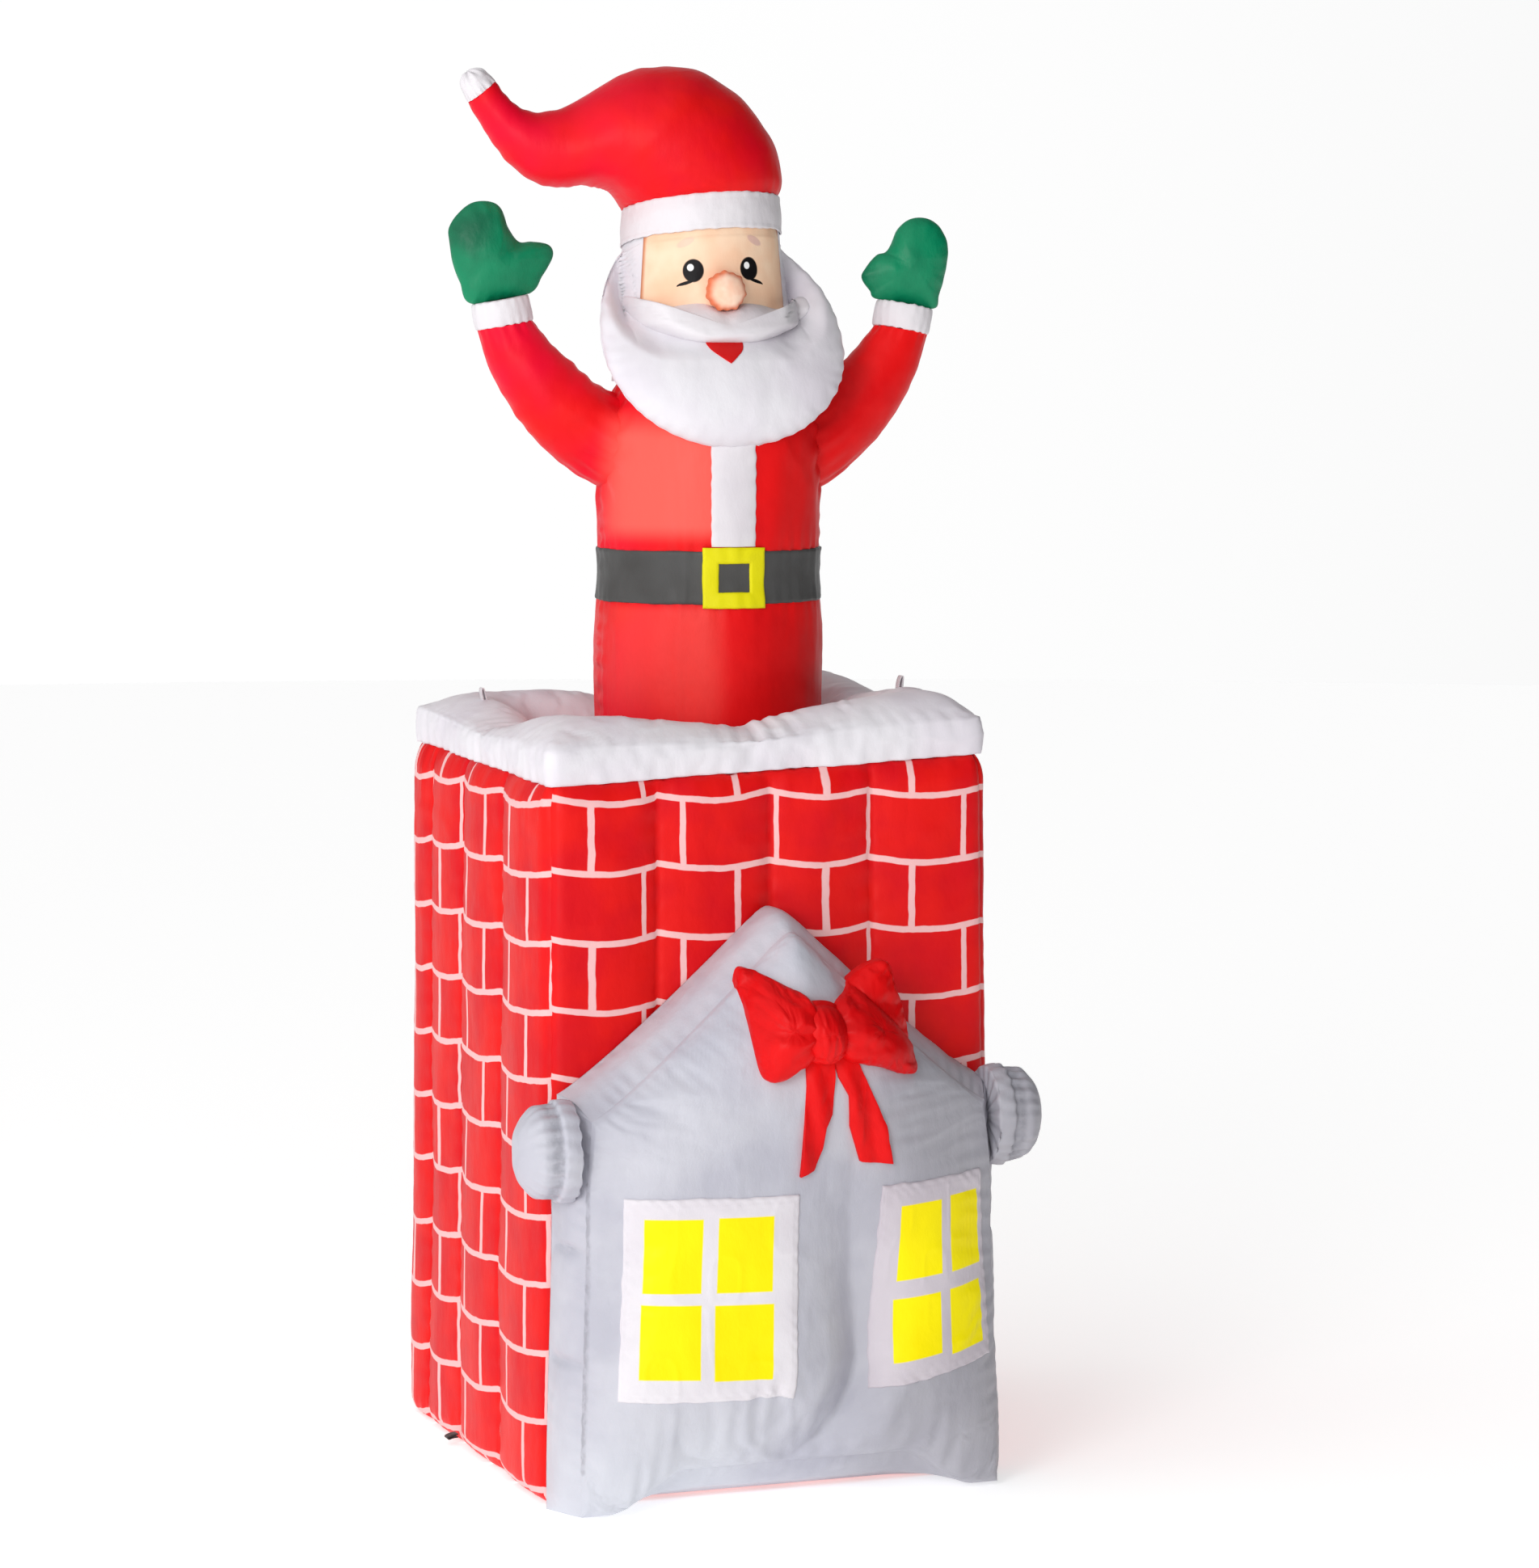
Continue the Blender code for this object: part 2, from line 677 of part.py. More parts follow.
def face_front(x, z):
    """The y of whatever lies outermost on the face: beard, or face panel on the head tube."""
    radius = head_radius(z) + FACE_THICK + 2 * SEAM_GAP + CUT_MARGIN
    tube = -math.sqrt(max(0.0, radius * radius - x * x))
    low = BEARD_MIDDLE - BEARD_DOWN
    if low < z < BEARD_TOP:
        return min(tube, beard_front(x, z))
    return tube


def puff(name, outline, middle, carrier, height, edge, material, parent=None, rings=3):
    """A puffed piece on a carrier whose front is y = carrier(x, z).

    outline is a closed list of (x, z), and middle the point that its rings shrink to. The front
    stands edge proud at the outline and height at the middle. The back is sunk into the carrier,
    and is then cut clear of it.
    """
    middle = np.asarray(middle, float)
    outline = np.asarray(outline, float)
    count = len(outline)
    back, front = [], []
    for k in range(rings):
        share = math.cos(0.5 * math.pi * k / rings)
        rise = edge + (height - edge) * math.sin(0.5 * math.pi * k / rings)
        for x, z in middle + (outline - middle) * share:
            y = carrier(x, z)
            back.append((x, y + SINK, z))
            front.append((x, y - rise, z))
    x, z = middle
    y = carrier(x, z)
    points = back + [(x, y + SINK, z)] + front + [(x, y - height, z)]
    half = len(back) + 1
    faces = []
    for side in (0, half):
        for k in range(rings - 1):
            for i in range(count):
                j = (i + 1) % count
                a, b = side + k * count, side + (k + 1) * count
                faces.append((a + i, a + j, b + j, b + i))
        last = side + (rings - 1) * count
        for i in range(count):
            faces.append((last + i, last + (i + 1) % count, side + half - 1))
    for i in range(count):
        j = (i + 1) % count
        faces.append((i, j, half + j, half + i))
    return add_object(name, mesh_from(name, points, faces), material, parent)


def build_moustache(head, cutters):
    """The puffed moustache, one half mirrored to the other, and the red mouth under it."""
    upper = [(0.0, 1.4825), (0.014, 1.492), (0.030, 1.499), (0.055, 1.494), (0.080, 1.489), (0.100, 1.497)]
    tip = [(0.118, 1.506), (0.122, 1.492)]
    lower = [(0.108, 1.473), (0.080, 1.456), (0.045, 1.4475), (0.020, 1.4455), (0.0, 1.4455)]
    right = upper + tip + lower
    left = [(-x, z) for x, z in reversed(right[1:-1])]
    outline = round_loop(right + left, 36)
    middle = (0.0, 1.466)
    moustache = puff("moustache", outline, middle, face_front, MOUSTACHE_PUFF, 0.004, "snow_white", head)
    half = 0.5 * MOUTH_WIDTH
    mouth = [(-half, MOUTH_TOP - 0.001), (0.0, MOUTH_TOP), (half, MOUTH_TOP - 0.001)]
    mouth += [(0.62 * half, MOUTH_BOTTOM + 0.008), (0.0, MOUTH_BOTTOM), (-0.62 * half, MOUTH_BOTTOM + 0.008)]
    mouth = round_loop(mouth, 18)
    lips = puff("mouth", mouth, (0.0, 1.432), face_front, 0.003, MOUTH_THICK, "mouth_red", head, 2)
    for cutter in cutters:
        cut(moustache, cutter)
        cut(lips, cutter)


def nose_ball(name, extra, material, head):
    shape = bmesh.new()
    bmesh.ops.create_uvsphere(shape, u_segments=16, v_segments=10, radius=NOSE_RADIUS + extra)
    mesh = bpy.data.meshes.new(name)
    shape.to_mesh(mesh)
    shape.free()
    mesh.transform(Matrix.Diagonal((1.0, NOSE_DEPTH_SHARE, 1.0, 1.0)))
    ball = add_object(name, mesh, material, head)
    ball.location = (0.0, -NOSE_FORWARD, NOSE_HEIGHT)
    return ball


def hat_stations():
    """The hat's section middles and half widths, from the band over the crown to the tail."""
    base = BAND_BOTTOM + BAND_HEIGHT + SEAM_GAP
    return [
        (0.000, base, 0.1045, 0.0),
        (0.004, base + 0.030, 0.1090, -8.0),
        (-0.006, base + 0.066, 0.1080, -24.0),
        (-0.044, base + 0.096, 0.0990, -48.0),
        (-0.088, base + 0.101, 0.0830, -68.0),
        (-0.130, base + 0.087, 0.0680, -84.0),
        (-0.172, base + 0.070, 0.0570, -84.0),
        (-0.213, base + 0.070, 0.0470, -62.0),
        (-0.246, base + 0.089, 0.0360, -46.0),
        (-0.269, base + 0.115, 0.0285, -36.0),
        (-0.287, base + 0.143, 0.0230, -34.0),
    ]


def hat_ring(x, z, half, lean, tilt_share, grow=0.0):
    """One section: a circle across the path, which leans by lean degrees towards -X."""
    ring = []
    angle = math.radians(lean)
    for i in range(HAT_SIDES):
        a = 2 * math.pi * i / HAT_SIDES
        across = (half + grow) * math.sin(a)
        deep = (half + grow) * math.cos(a)
        rise = band_rise(a) * tilt_share
        ring.append((x + across * math.cos(angle), -deep, z - across * math.sin(angle) + rise))
    return ring


def build_hat(head):
    """The red bag of the hat, its white band and its white tip."""
    rings = []
    stations = through(hat_stations(), HAT_STEPS)
    for i, (x, z, half, lean) in enumerate(stations):
        rings.append(hat_ring(x, z, half, lean, max(0.0, 1 - 0.35 * i)))
    loft("hat", rings, "suit_red", head)
    x, z, half, lean = stations[-1]
    angle = math.radians(lean)
    along = np.array((math.sin(angle), math.cos(angle)))
    tip = []
    for share, size in ((0.0, 1.0), (0.35, 0.98), (0.7, 0.74), (0.92, 0.40), (1.0, 0.12)):
        shift = along * (SEAM_GAP + CUT_MARGIN + TIP_LENGTH * share)
        tip.append(hat_ring(x + shift[0], z + shift[1], half * size, lean, 0.0))
    loft("hat_tip", tip, "snow_white", head)
    section = (
        (band_inner(), BAND_BOTTOM),
        (band_inner() + BAND_THICK, BAND_BOTTOM + 0.003),
        (band_inner() + BAND_THICK, BAND_BOTTOM + BAND_HEIGHT - 0.003),
        (band_inner(), BAND_BOTTOM + BAND_HEIGHT),
    )
    ring_solid("hat_band", section, HEAD_SIDES, "snow_white", head, band_rise)


def band_inner():
    """The band clears the head tube at its widest, the band's lowest edge."""
    return head_radius(BAND_BOTTOM - BAND_FRONT_RISE - BAND_RIGHT_RISE) + SEAM_GAP + CUT_MARGIN


def arm_path(reach):
    """The arm's middle line and radius, from inside the shoulder to the wrist.

    reach stretches the distances out from the shoulder.
    """
    path = through(
        [
            (SHOULDER_X, 1.300, 0.058),
            (0.130, 1.316, 0.059),
            (0.178, 1.346, 0.055),
            (0.224, 1.393, 0.048),
            (0.252, 1.432, 0.041),
            (WRIST_X, WRIST_Z, WRIST_RADIUS),
        ],
        ARM_STEPS,
    )
    path[:, 0] = SHOULDER_X + (path[:, 0] - SHOULDER_X) * reach
    return path


def side_ring(x, z, radius, lean, side, sides=ARM_SIDES):
    """A ring square to a direction that leans by lean from upright, away from the body."""
    ring = []
    for i in range(sides):
        a = 2 * math.pi * i / sides
        across = radius * math.sin(a)
        out = x + across * math.cos(lean)
        ring.append((side * out, -radius * math.cos(a), z - across * math.sin(lean)))
    return ring


def build_arm(name, side, pose, figure, cutters):
    """A tapered arm, its cuff and its mitten, on the side given by -1 or 1."""
    reach, lift = pose
    path = arm_path(reach)
    rings = []
    for i, (x, z, radius) in enumerate(path):
        before, after = path[max(i - 1, 0)], path[min(i + 1, len(path) - 1)]
        lean = math.atan2(after[0] - before[0], after[1] - before[1])
        if i == len(path) - 1:
            lean = WRIST_LEAN
        rings.append(side_ring(x, z, radius, lean, side))
    arm = loft("arm_" + name, rings, "suit_red", figure)
    for cutter in cutters:
        cut(arm, cutter)
    step = np.array((math.sin(WRIST_LEAN), math.cos(WRIST_LEAN)))
    foot = path[-1, :2] + step * SEAM_GAP
    rings = []
    for share, size in ((0.0, 0.94), (0.12, 1.0), (0.88, 1.0), (1.0, 0.94)):
        x, z = foot + step * CUFF_LENGTH * share
        rings.append(side_ring(x, z, CUFF_RADIUS * size, WRIST_LEAN, side))
    cuff = loft("cuff_" + name, rings, "snow_white", figure)
    wrist = foot + step * (CUFF_LENGTH + SEAM_GAP)
    mitten = build_mitten(name, side, wrist, figure)
    for obj in (arm, cuff, mitten):
        obj.location.z = lift


def build_mitten(name, side, wrist, figure):
    """A two-panel mitten with its thumb towards the head, puffed from its outline."""
    outline = round_loop(MITTEN_OUTLINES[name], MITTEN_POINTS)
    sine, cosine = math.sin(WRIST_LEAN), math.cos(WRIST_LEAN)
    middle = np.array((0.006, 0.050))
    points, faces = [], []
    levels = [-1 + k / MITTEN_RINGS for k in range(2 * MITTEN_RINGS + 1)]
    for level in levels:
        share = 0.15 + 0.85 * math.cos(0.5 * math.pi * level)
        depth = MITTEN_THICK * math.sin(0.5 * math.pi * level)
        for x, z in middle + (outline - middle) * share:
            across = x * cosine - z * sine
            along = max(x * sine + z * cosine, 0.0)
            full = 0.75 + 0.25 * min(1.0, along / 0.06)
            out = across * cosine + along * sine
            points.append((side * (wrist[0] + out), depth * full, wrist[1] + along * cosine - across * sine))
    count = len(outline)
    for row in range(len(levels) - 1):
        for i in range(count):
            j = (i + 1) % count
            faces.append((row * count + i, row * count + j, (row + 1) * count + j, (row + 1) * count + i))
    last = (len(levels) - 1) * count
    faces.append(tuple(range(count)))
    faces.append(tuple(range(last, last + count)))
    return add_object("mitten_" + name, mesh_from("mitten_" + name, points, faces), "mitten_green", figure)


def house_back(z):
    """The y of the house's flat back, just clear of the chimney's columns."""
    return -(chimney_half(z) + COLUMN_PUFF + SEAM_GAP + CUT_MARGIN)


def house_half(z):
    """Half the house's width at this height, below the eaves."""
    if z > HOUSE_WAIST:
        t = (z - HOUSE_WAIST) / (HOUSE_EAVE - HOUSE_WAIST)
        return HOUSE_HALF_WAIST + (HOUSE_HALF_EAVE - HOUSE_HALF_WAIST) * ease(t)
    t = 1 - z / HOUSE_WAIST
    return HOUSE_HALF_WAIST + (HOUSE_HALF_FOOT - HOUSE_HALF_WAIST) * ease(t)


def house_top(x):
    """The gable line over a place across the front, a little hollow on both slopes."""
    across = min(1.0, abs(x - HOUSE_MIDDLE_X) / HOUSE_HALF_EAVE)
    return HOUSE_EAVE + (HOUSE_PEAK - HOUSE_EAVE) * (1 - across) ** HOUSE_GABLE_SAG


def house_foot(x):
    """The bottom edge: ears on the ground with a raised middle."""
    across = min(1.0, abs(x - HOUSE_MIDDLE_X) / HOUSE_HALF_FOOT)
    ear = 1 - HOUSE_FOOT_FLAT / HOUSE_HALF_FOOT
    return HOUSE_FOOT_RISE * (1 - ease((across - HOUSE_FOOT_START) / (ear - HOUSE_FOOT_START)))


def house_depth(x, z):
    """How far the front stands out from the back: gusset, puff and the deep middle crease."""
    half = house_half(min(z, HOUSE_EAVE))
    u = min(1.0, abs(x - HOUSE_MIDDLE_X) / half)
    top, foot = house_top(x), house_foot(x)
    v = min(max((z - foot) / max(top - foot, 1e-6), 0.0), 1.0)
    swell = (1 - u**2.4) ** 0.6 * (1 - (2 * v - 1) ** 4) ** 0.6 if u < 1 else 0.0
    crease = math.exp(-(((x - HOUSE_CREASE_X) / HOUSE_CREASE_WIDTH) ** 2)) * ease((0.56 - z) / 0.30)
    return HOUSE_GUSSET + HOUSE_PUFF * swell - HOUSE_CREASE * crease * swell


def house_front(x, z):
    return house_back(z) - house_depth(x, z)


def house_solid(name, extra, material):
    """Front and back faces over one grid of the gable outline, joined round their edge."""
    grid = []
    for j in range(HOUSE_ROWS + 1):
        v = 0.5 - 0.5 * math.cos(math.pi * j / HOUSE_ROWS)
        row = []
        for i in range(HOUSE_COLUMNS + 1):
            u = math.sin(0.5 * math.pi * (2 * i / HOUSE_COLUMNS - 1))
            x = HOUSE_MIDDLE_X + u * HOUSE_HALF_EAVE
            z = house_foot(x) * (1 - v) + house_top(x) * v
            x = HOUSE_MIDDLE_X + u * house_half(min(z, HOUSE_EAVE))
            row.append((x, z))
        grid.append(row)
    points, faces = [], []
    width = HOUSE_COLUMNS + 1
    for row in grid:
        points += [(x, house_back(z), z) for x, z in row]
    start = len(points)
    for row in grid:
        points += [(x, house_front(x, z) - extra, z) for x, z in row]
    for side in (0, start):
        for j in range(HOUSE_ROWS):
            for i in range(HOUSE_COLUMNS):
                a = side + j * width + i
                faces.append((a, a + 1, a + width + 1, a + width))
    edge = [i for i in range(width)]
    edge += [j * width + width - 1 for j in range(1, HOUSE_ROWS + 1)]
    edge += [HOUSE_ROWS * width + i for i in range(width - 2, -1, -1)]
    edge += [j * width for j in range(HOUSE_ROWS - 1, 0, -1)]
    for a, b in zip(edge, edge[1:] + edge[:1]):
        faces.append((a, b, start + b, start + a))
    return add_object(name, mesh_from(name, points, faces), material)


def build_eaves():
    """Short drums with round ends, one at each shoulder of the house."""
    for (name, height), side in zip(EAVE_HEIGHTS.items(), (-1, 1)):
        widest = max(house_half(z) for z in (height - EAVE_RADIUS, height, height + EAVE_RADIUS, HOUSE_EAVE))
        start = widest + SEAM_GAP + CUT_MARGIN
        middle_y = house_back(height) - EAVE_DEPTH_SHARE * EAVE_RADIUS
        rings = []
        for share, size in EAVE_SECTIONS:
            x = HOUSE_MIDDLE_X + side * (start + EAVE_LENGTH * share)
            radius = EAVE_RADIUS * size
            ring = []
            for i in range(EAVE_SIDES):
                a = 2 * math.pi * i / EAVE_SIDES
                y = middle_y - EAVE_DEPTH_SHARE * radius * math.cos(a)
                ring.append((x, y, height + radius * math.sin(a)))
            rings.append(ring)
        loft("eave_" + name, rings, "house_grey")


def build_windows(house_cutter):
    """Flat cloth panels that follow the house's front."""
    for name, (left, right, bottom, top) in (("window_left", WINDOW_LEFT), ("window_right", WINDOW_RIGHT)):

        def glass(u, v):
            x = left + (right - left) * u
            z = bottom + (top - bottom) * v
            return (x, house_front(x, z) + SINK, z)

        cut(sheet(name, glass, 8, 6, SINK + WINDOW_THICK, "snow_white"), house_cutter)


def build_bow(house_cutter):
    """Two puffed loops, the knot and two tails, laid on the gable."""
    left = [
        (-0.088, 0.678), (-0.064, 0.677), (-0.034, 0.660), (-0.006, 0.634), (-0.006, 0.576),
        (-0.024, 0.560), (-0.046, 0.541), (-0.062, 0.546), (-0.078, 0.590), (-0.088, 0.640),
    ]  # fmt: skip
    right = [
        (0.067, 0.636), (0.078, 0.655), (0.098, 0.676), (0.118, 0.678), (0.134, 0.645),
        (0.146, 0.600), (0.147, 0.545), (0.130, 0.538), (0.100, 0.552), (0.067, 0.571),
    ]  # fmt: skip
    knot = [
        (BOW_X + KNOT_HALF_WIDTH * math.cos(a), BOW_Z + KNOT_HALF_HEIGHT * math.sin(a))
        for a in (2 * math.pi * i / 20 for i in range(20))
    ]
    left_tail = [
        (-0.002, 0.566), (-0.004, 0.537), (-0.007, 0.493), (-0.012, 0.421), (0.004, 0.428),
        (0.016, 0.454), (0.020, 0.480), (0.033, 0.493), (0.038, 0.545), (0.036, 0.5635),
    ]  # fmt: skip
    right_tail = [
        (0.041, 0.563), (0.043, 0.543), (0.054, 0.519), (0.052, 0.480), (0.070, 0.436), (0.110, 0.431),
        (0.104, 0.482), (0.088, 0.517), (0.066, 0.560), (0.058, 0.570),
    ]  # fmt: skip
    pieces = (
        ("bow_loop_left", round_loop(left, 22), (-0.050, 0.612), BOW_PUFF, 0.008, 3),
        ("bow_loop_right", round_loop(right, 22), (0.104, 0.606), BOW_PUFF, 0.008, 3),
        ("bow_knot", knot, (BOW_X, BOW_Z), KNOT_PUFF, 0.012, 3),
        ("bow_tail_left", left_tail, (0.010, 0.505), TAIL_THICK, 0.004, 2),
        ("bow_tail_right", right_tail, (0.068, 0.505), TAIL_THICK, 0.004, 2),
    )
    for name, outline, middle, height, edge, rings in pieces:
        cut(puff(name, outline, middle, house_front, height, edge, "suit_red", None, rings), house_cutter)


def main():
    figure = bpy.data.objects.new("figure_turn", None)
    PARTS.objects.link(figure)
    figure.location = (FIGURE_X, 0.0, 0.0)
    figure.rotation_euler = (0.0, 0.0, FIGURE_TURN)
    head = bpy.data.objects.new("head_turn", None)
    PARTS.objects.link(head)
    head.parent = figure
    head.location = (HEAD_OFFSET_X, 0.0, 0.0)
    head.rotation_euler = (0.0, 0.0, HEAD_TURN)

    build_chimney()
    build_rim()
    build_tethers()
    build_tabs()
    torso, torso_cutter = build_torso(figure)
    placket = build_belt(figure)
    head_tube, head_cutter = build_head(head)
    beard, beard_cutter = build_beard(head, head_cutter)
    cut(torso, beard_cutter)
    cut(torso, head_cutter)
    cut(placket, beard_cutter)
    cut(nose_ball("nose", 0.0, "skin_peach", head), head_cutter)
    nose_cutter = nose_ball("nose_cutter", SEAM_GAP + CUT_MARGIN, None, head)
    build_moustache(head, (beard_cutter, head_cutter, nose_cutter))
    build_hat(head)
    cutters = (torso_cutter, beard_cutter, head_cutter)
    build_arm("left", -1, LEFT_ARM, figure, cutters)
    build_arm("right", 1, RIGHT_ARM, figure, cutters)
    house_solid("house_front", 0.0, "house_grey")
    house_cutter = house_solid("house_cutter", SEAM_GAP + CUT_MARGIN, None)
    build_eaves()
    build_windows(house_cutter)
    build_bow(house_cutter)


main()
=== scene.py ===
"""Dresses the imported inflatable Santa: blown satin cloth, brick print, stitched seams and the studio."""

import logging
import math
from dataclasses import dataclass
from enum import Enum
from typing import Any, Callable, ClassVar, Optional, Sequence, Union

import bmesh
import bpy
import numpy as np
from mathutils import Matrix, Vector
from mathutils.kdtree import KDTree


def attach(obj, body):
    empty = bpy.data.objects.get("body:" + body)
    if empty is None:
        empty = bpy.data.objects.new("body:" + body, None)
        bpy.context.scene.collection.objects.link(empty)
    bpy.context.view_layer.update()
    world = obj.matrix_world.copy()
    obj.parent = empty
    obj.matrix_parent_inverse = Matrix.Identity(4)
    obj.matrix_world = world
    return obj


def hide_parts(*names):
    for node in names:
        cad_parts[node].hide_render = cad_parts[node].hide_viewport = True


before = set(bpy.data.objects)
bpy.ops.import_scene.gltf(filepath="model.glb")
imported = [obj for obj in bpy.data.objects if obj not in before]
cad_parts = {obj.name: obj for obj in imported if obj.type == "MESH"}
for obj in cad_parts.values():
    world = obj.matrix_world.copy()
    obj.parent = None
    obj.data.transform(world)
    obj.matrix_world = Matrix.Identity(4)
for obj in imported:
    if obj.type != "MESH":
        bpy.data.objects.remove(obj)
logging.basicConfig(level=logging.INFO, format="%(message)s")
LOG = logging.getLogger("inflatable_santa")

Array = np.ndarray
Colour = tuple[float, float, float]
Piece = bpy.types.Object
Knots = Sequence[Sequence[float]]
Spread = Union[float, Sequence[float]]
FORWARD = (0.0, -1.0, 0.0)
BACKWARD = (0.0, 1.0, 0.0)
TAPE_THICKNESS = 0.0012
HEAD_OFFSET = -0.009


class Carrier(Enum):
    """What a piece is shaped on: the ground frame, the turned figure or its turned head."""

    GROUND = (0.0, 0.0)
    FIGURE = (0.022, -6.5)
    HEAD = (0.022, -4.5)

    def to_world(self, points: Array) -> Array:
        """Carries points of this frame into the part's frame.

        Args:
            points: an array whose last axis is x, y, z.

        Returns:
            The points, turned about the upright axis and moved sideways.
        """
        shift, degrees = self.value
        turn = math.radians(degrees)
        base = math.radians(Carrier.FIGURE.value[1])
        offset = HEAD_OFFSET if self is Carrier.HEAD else 0.0
        result = np.array(points, float)
        x, y = result[..., 0].copy(), result[..., 1].copy()
        result[..., 0] = x * math.cos(turn) - y * math.sin(turn) + shift + offset * math.cos(base)
        result[..., 1] = x * math.sin(turn) + y * math.cos(turn) + offset * math.sin(base)
        return result


class Noise:
    """Seeded value noise, so that every run wrinkles the cloth in the same way."""

    @staticmethod
    def _lattice(x: Array, y: Array, z: Array, seed: int) -> Array:
        """Gives each whole-number cell its own value from -1 to 1."""
        mixed = (x * 73856093) ^ (y * 19349663) ^ (z * 83492791) ^ (seed * 265443576)
        mixed = (mixed ^ (mixed >> 13)) * 127412617
        mixed = mixed ^ (mixed >> 16)
        return (mixed & 0xFFFF) / 32767.5 - 1.0

    @classmethod
    def smooth(cls, points: Array, size: Spread, seed: int) -> Array:
        """Smooth noise from -1 to 1.

        Args:
            points: an array whose last axis is x, y, z.
            size: the size of a patch, the same all ways or one for each axis.
            seed: picks the pattern.

        Returns:
            One value for each point.
        """
        scaled = np.asarray(points, float) / np.asarray(size, float)
        cell = np.floor(scaled)
        part = scaled - cell
        part = part**3 * (part * (part * 6 - 15) + 10)
        cell = cell.astype(np.int64)
        total = np.zeros(scaled.shape[:-1])
        for corner in range(8):
            step = [(corner >> axis) & 1 for axis in range(3)]
            weight = np.ones_like(total)
            for axis in range(3):
                weight = weight * (part[..., axis] if step[axis] else 1 - part[..., axis])
            total += weight * cls._lattice(*(cell[..., axis] + step[axis] for axis in range(3)), seed)
        return total

    @classmethod
    def folds(cls, points: Array, size: Spread, seed: int, octaves: int = 3) -> Array:
        """Noise with finer noise on top, for the soft unevenness of blown cloth."""
        total, strength = np.zeros(np.asarray(points).shape[:-1]), 1.0
        for octave in range(octaves):
            total += strength * cls.smooth(points, np.asarray(size, float) / 2**octave, seed + octave)
            strength *= 0.5
        return total

    @classmethod
    def creases(cls, points: Array, size: Spread, seed: int) -> Array:
        """Thin raised lines from 0 to 1, as cloth creases where it is slack."""
        return (1 - np.abs(cls.smooth(points, size, seed))) ** 6

    @classmethod
    def along(cls, distance: Array, size: float, seed: int) -> Array:
        """Noise along one line."""
        flat = packed(distance, np.full_like(distance, 0.37), np.full_like(distance, 0.71))
        return cls.smooth(flat, (size, 1.0, 1.0), seed)


def puckers(along: Array, away: Array, spacing: float, depth: float, reach: float, seed: int) -> Array:
    """Short creases square to a seam, deepest on it.

    Args:
        along: the distance along the seam, in metres.
        away: the distance from the seam, in metres.
        spacing: the mean distance between creases.
        depth: the greatest depth.
        reach: how far from the seam they run out.
        seed: picks the pattern.

    Returns:
        How far the cloth stands out, positive or negative.
    """
    phase = along / spacing + 0.45 * Noise.along(along, 2.1 * spacing, seed)
    strength = 0.62 + 0.55 * Noise.along(along, 1.6 * spacing, seed + 1)
    length = reach * (0.85 + 0.5 * Noise.along(along, 1.2 * spacing, seed + 2))
    return depth * strength * np.cos(2 * math.pi * phase) * hump(away, np.maximum(length, 1e-4), 1.4)


def ease(value: Array) -> Array:
    """Goes from 0 to 1 with no corner at either end."""
    value = unit(value)
    return value * value * (3 - 2 * value)


def unit(value: Any) -> Array:
    """Limits values to the span from 0 to 1."""
    return np.clip(value, 0.0, 1.0)


def hump(value: Any, width: Any, power: float = 2) -> Array:
    """A bump, 1 where the value is nought, that falls away over about the width."""
    return np.exp(-(np.abs(value / width) ** power))


def packed(*axes: Any) -> Array:
    """Coordinates brought to one shape and set side by side on a new last axis."""
    return np.stack(np.broadcast_arrays(*axes), axis=-1)


def about(radius: Any, angle: Any, z: Any) -> Array:
    """Points round the upright axis. Angle 0 is the front."""
    return packed(radius * np.sin(angle), -radius * np.cos(angle), z)


def full_turn(count: int, start: float = 0.0) -> Array:
    """One row of angles that goes once round, its last angle over its first."""
    return np.linspace(0, 2 * math.pi, count)[None, :] + start


def signed(angle: Array, start: float = 0.0) -> Array:
    """The turn from one angle to another, from -pi to pi."""
    return (angle - start + math.pi) % (2 * math.pi) - math.pi


def run_of(points: Array) -> Array:
    """The distance along a line to each of its points."""
    return np.concatenate([[0.0], np.cumsum(np.linalg.norm(np.diff(points, axis=0), axis=1))])


def lid(ring: Array, *shares: float) -> Array:
    """A closed row and smaller copies of it, down to its middle, that cap a tube."""
    middle = ring[:-1].mean(axis=0)
    return np.stack([ring, *(middle + (ring - middle) * share for share in shares)])


def through(knots: Knots, count: int) -> Array:
    """Evenly spaced points on a smooth open curve through the knots."""
    knots = np.asarray(knots, float)
    padded = np.vstack([2 * knots[0] - knots[1], knots, 2 * knots[-1] - knots[-2]])
    place = np.linspace(0, len(knots) - 1, count)
    return _spline(padded, place, len(knots) - 2)


def round_loop(knots: Knots, count: int) -> Array:
    """Evenly spaced points on a smooth closed curve through the knots."""
    knots = np.asarray(knots, float)
    padded = np.vstack([knots[-1:], knots, knots[:2]])
    place = np.arange(count) * len(knots) / count
    return _spline(padded, place, len(knots) - 1)


def _spline(padded: Array, place: Array, last: int) -> Array:
    """Points of a Catmull-Rom curve at these places, counted in knots."""
    start = np.minimum(place.astype(int), last)
    t = (place - start)[:, None]
    a, b, c, d = (padded[start + step] for step in range(4))
    return 0.5 * (2 * b + (c - a) * t + (2 * a - 5 * b + 4 * c - d) * t**2 + (3 * b - a - 3 * c + d) * t**3)


def resample(points: Array, count: int) -> Array:
    """The same closed outline with points at even distances."""
    closed = np.vstack([points, points[:1]])
    length = run_of(closed)
    places = np.linspace(0, length[-1], count, endpoint=False)
    return np.stack(
        [np.interp(places, length, closed[:, axis]) for axis in range(closed.shape[1])], axis=-1
    )


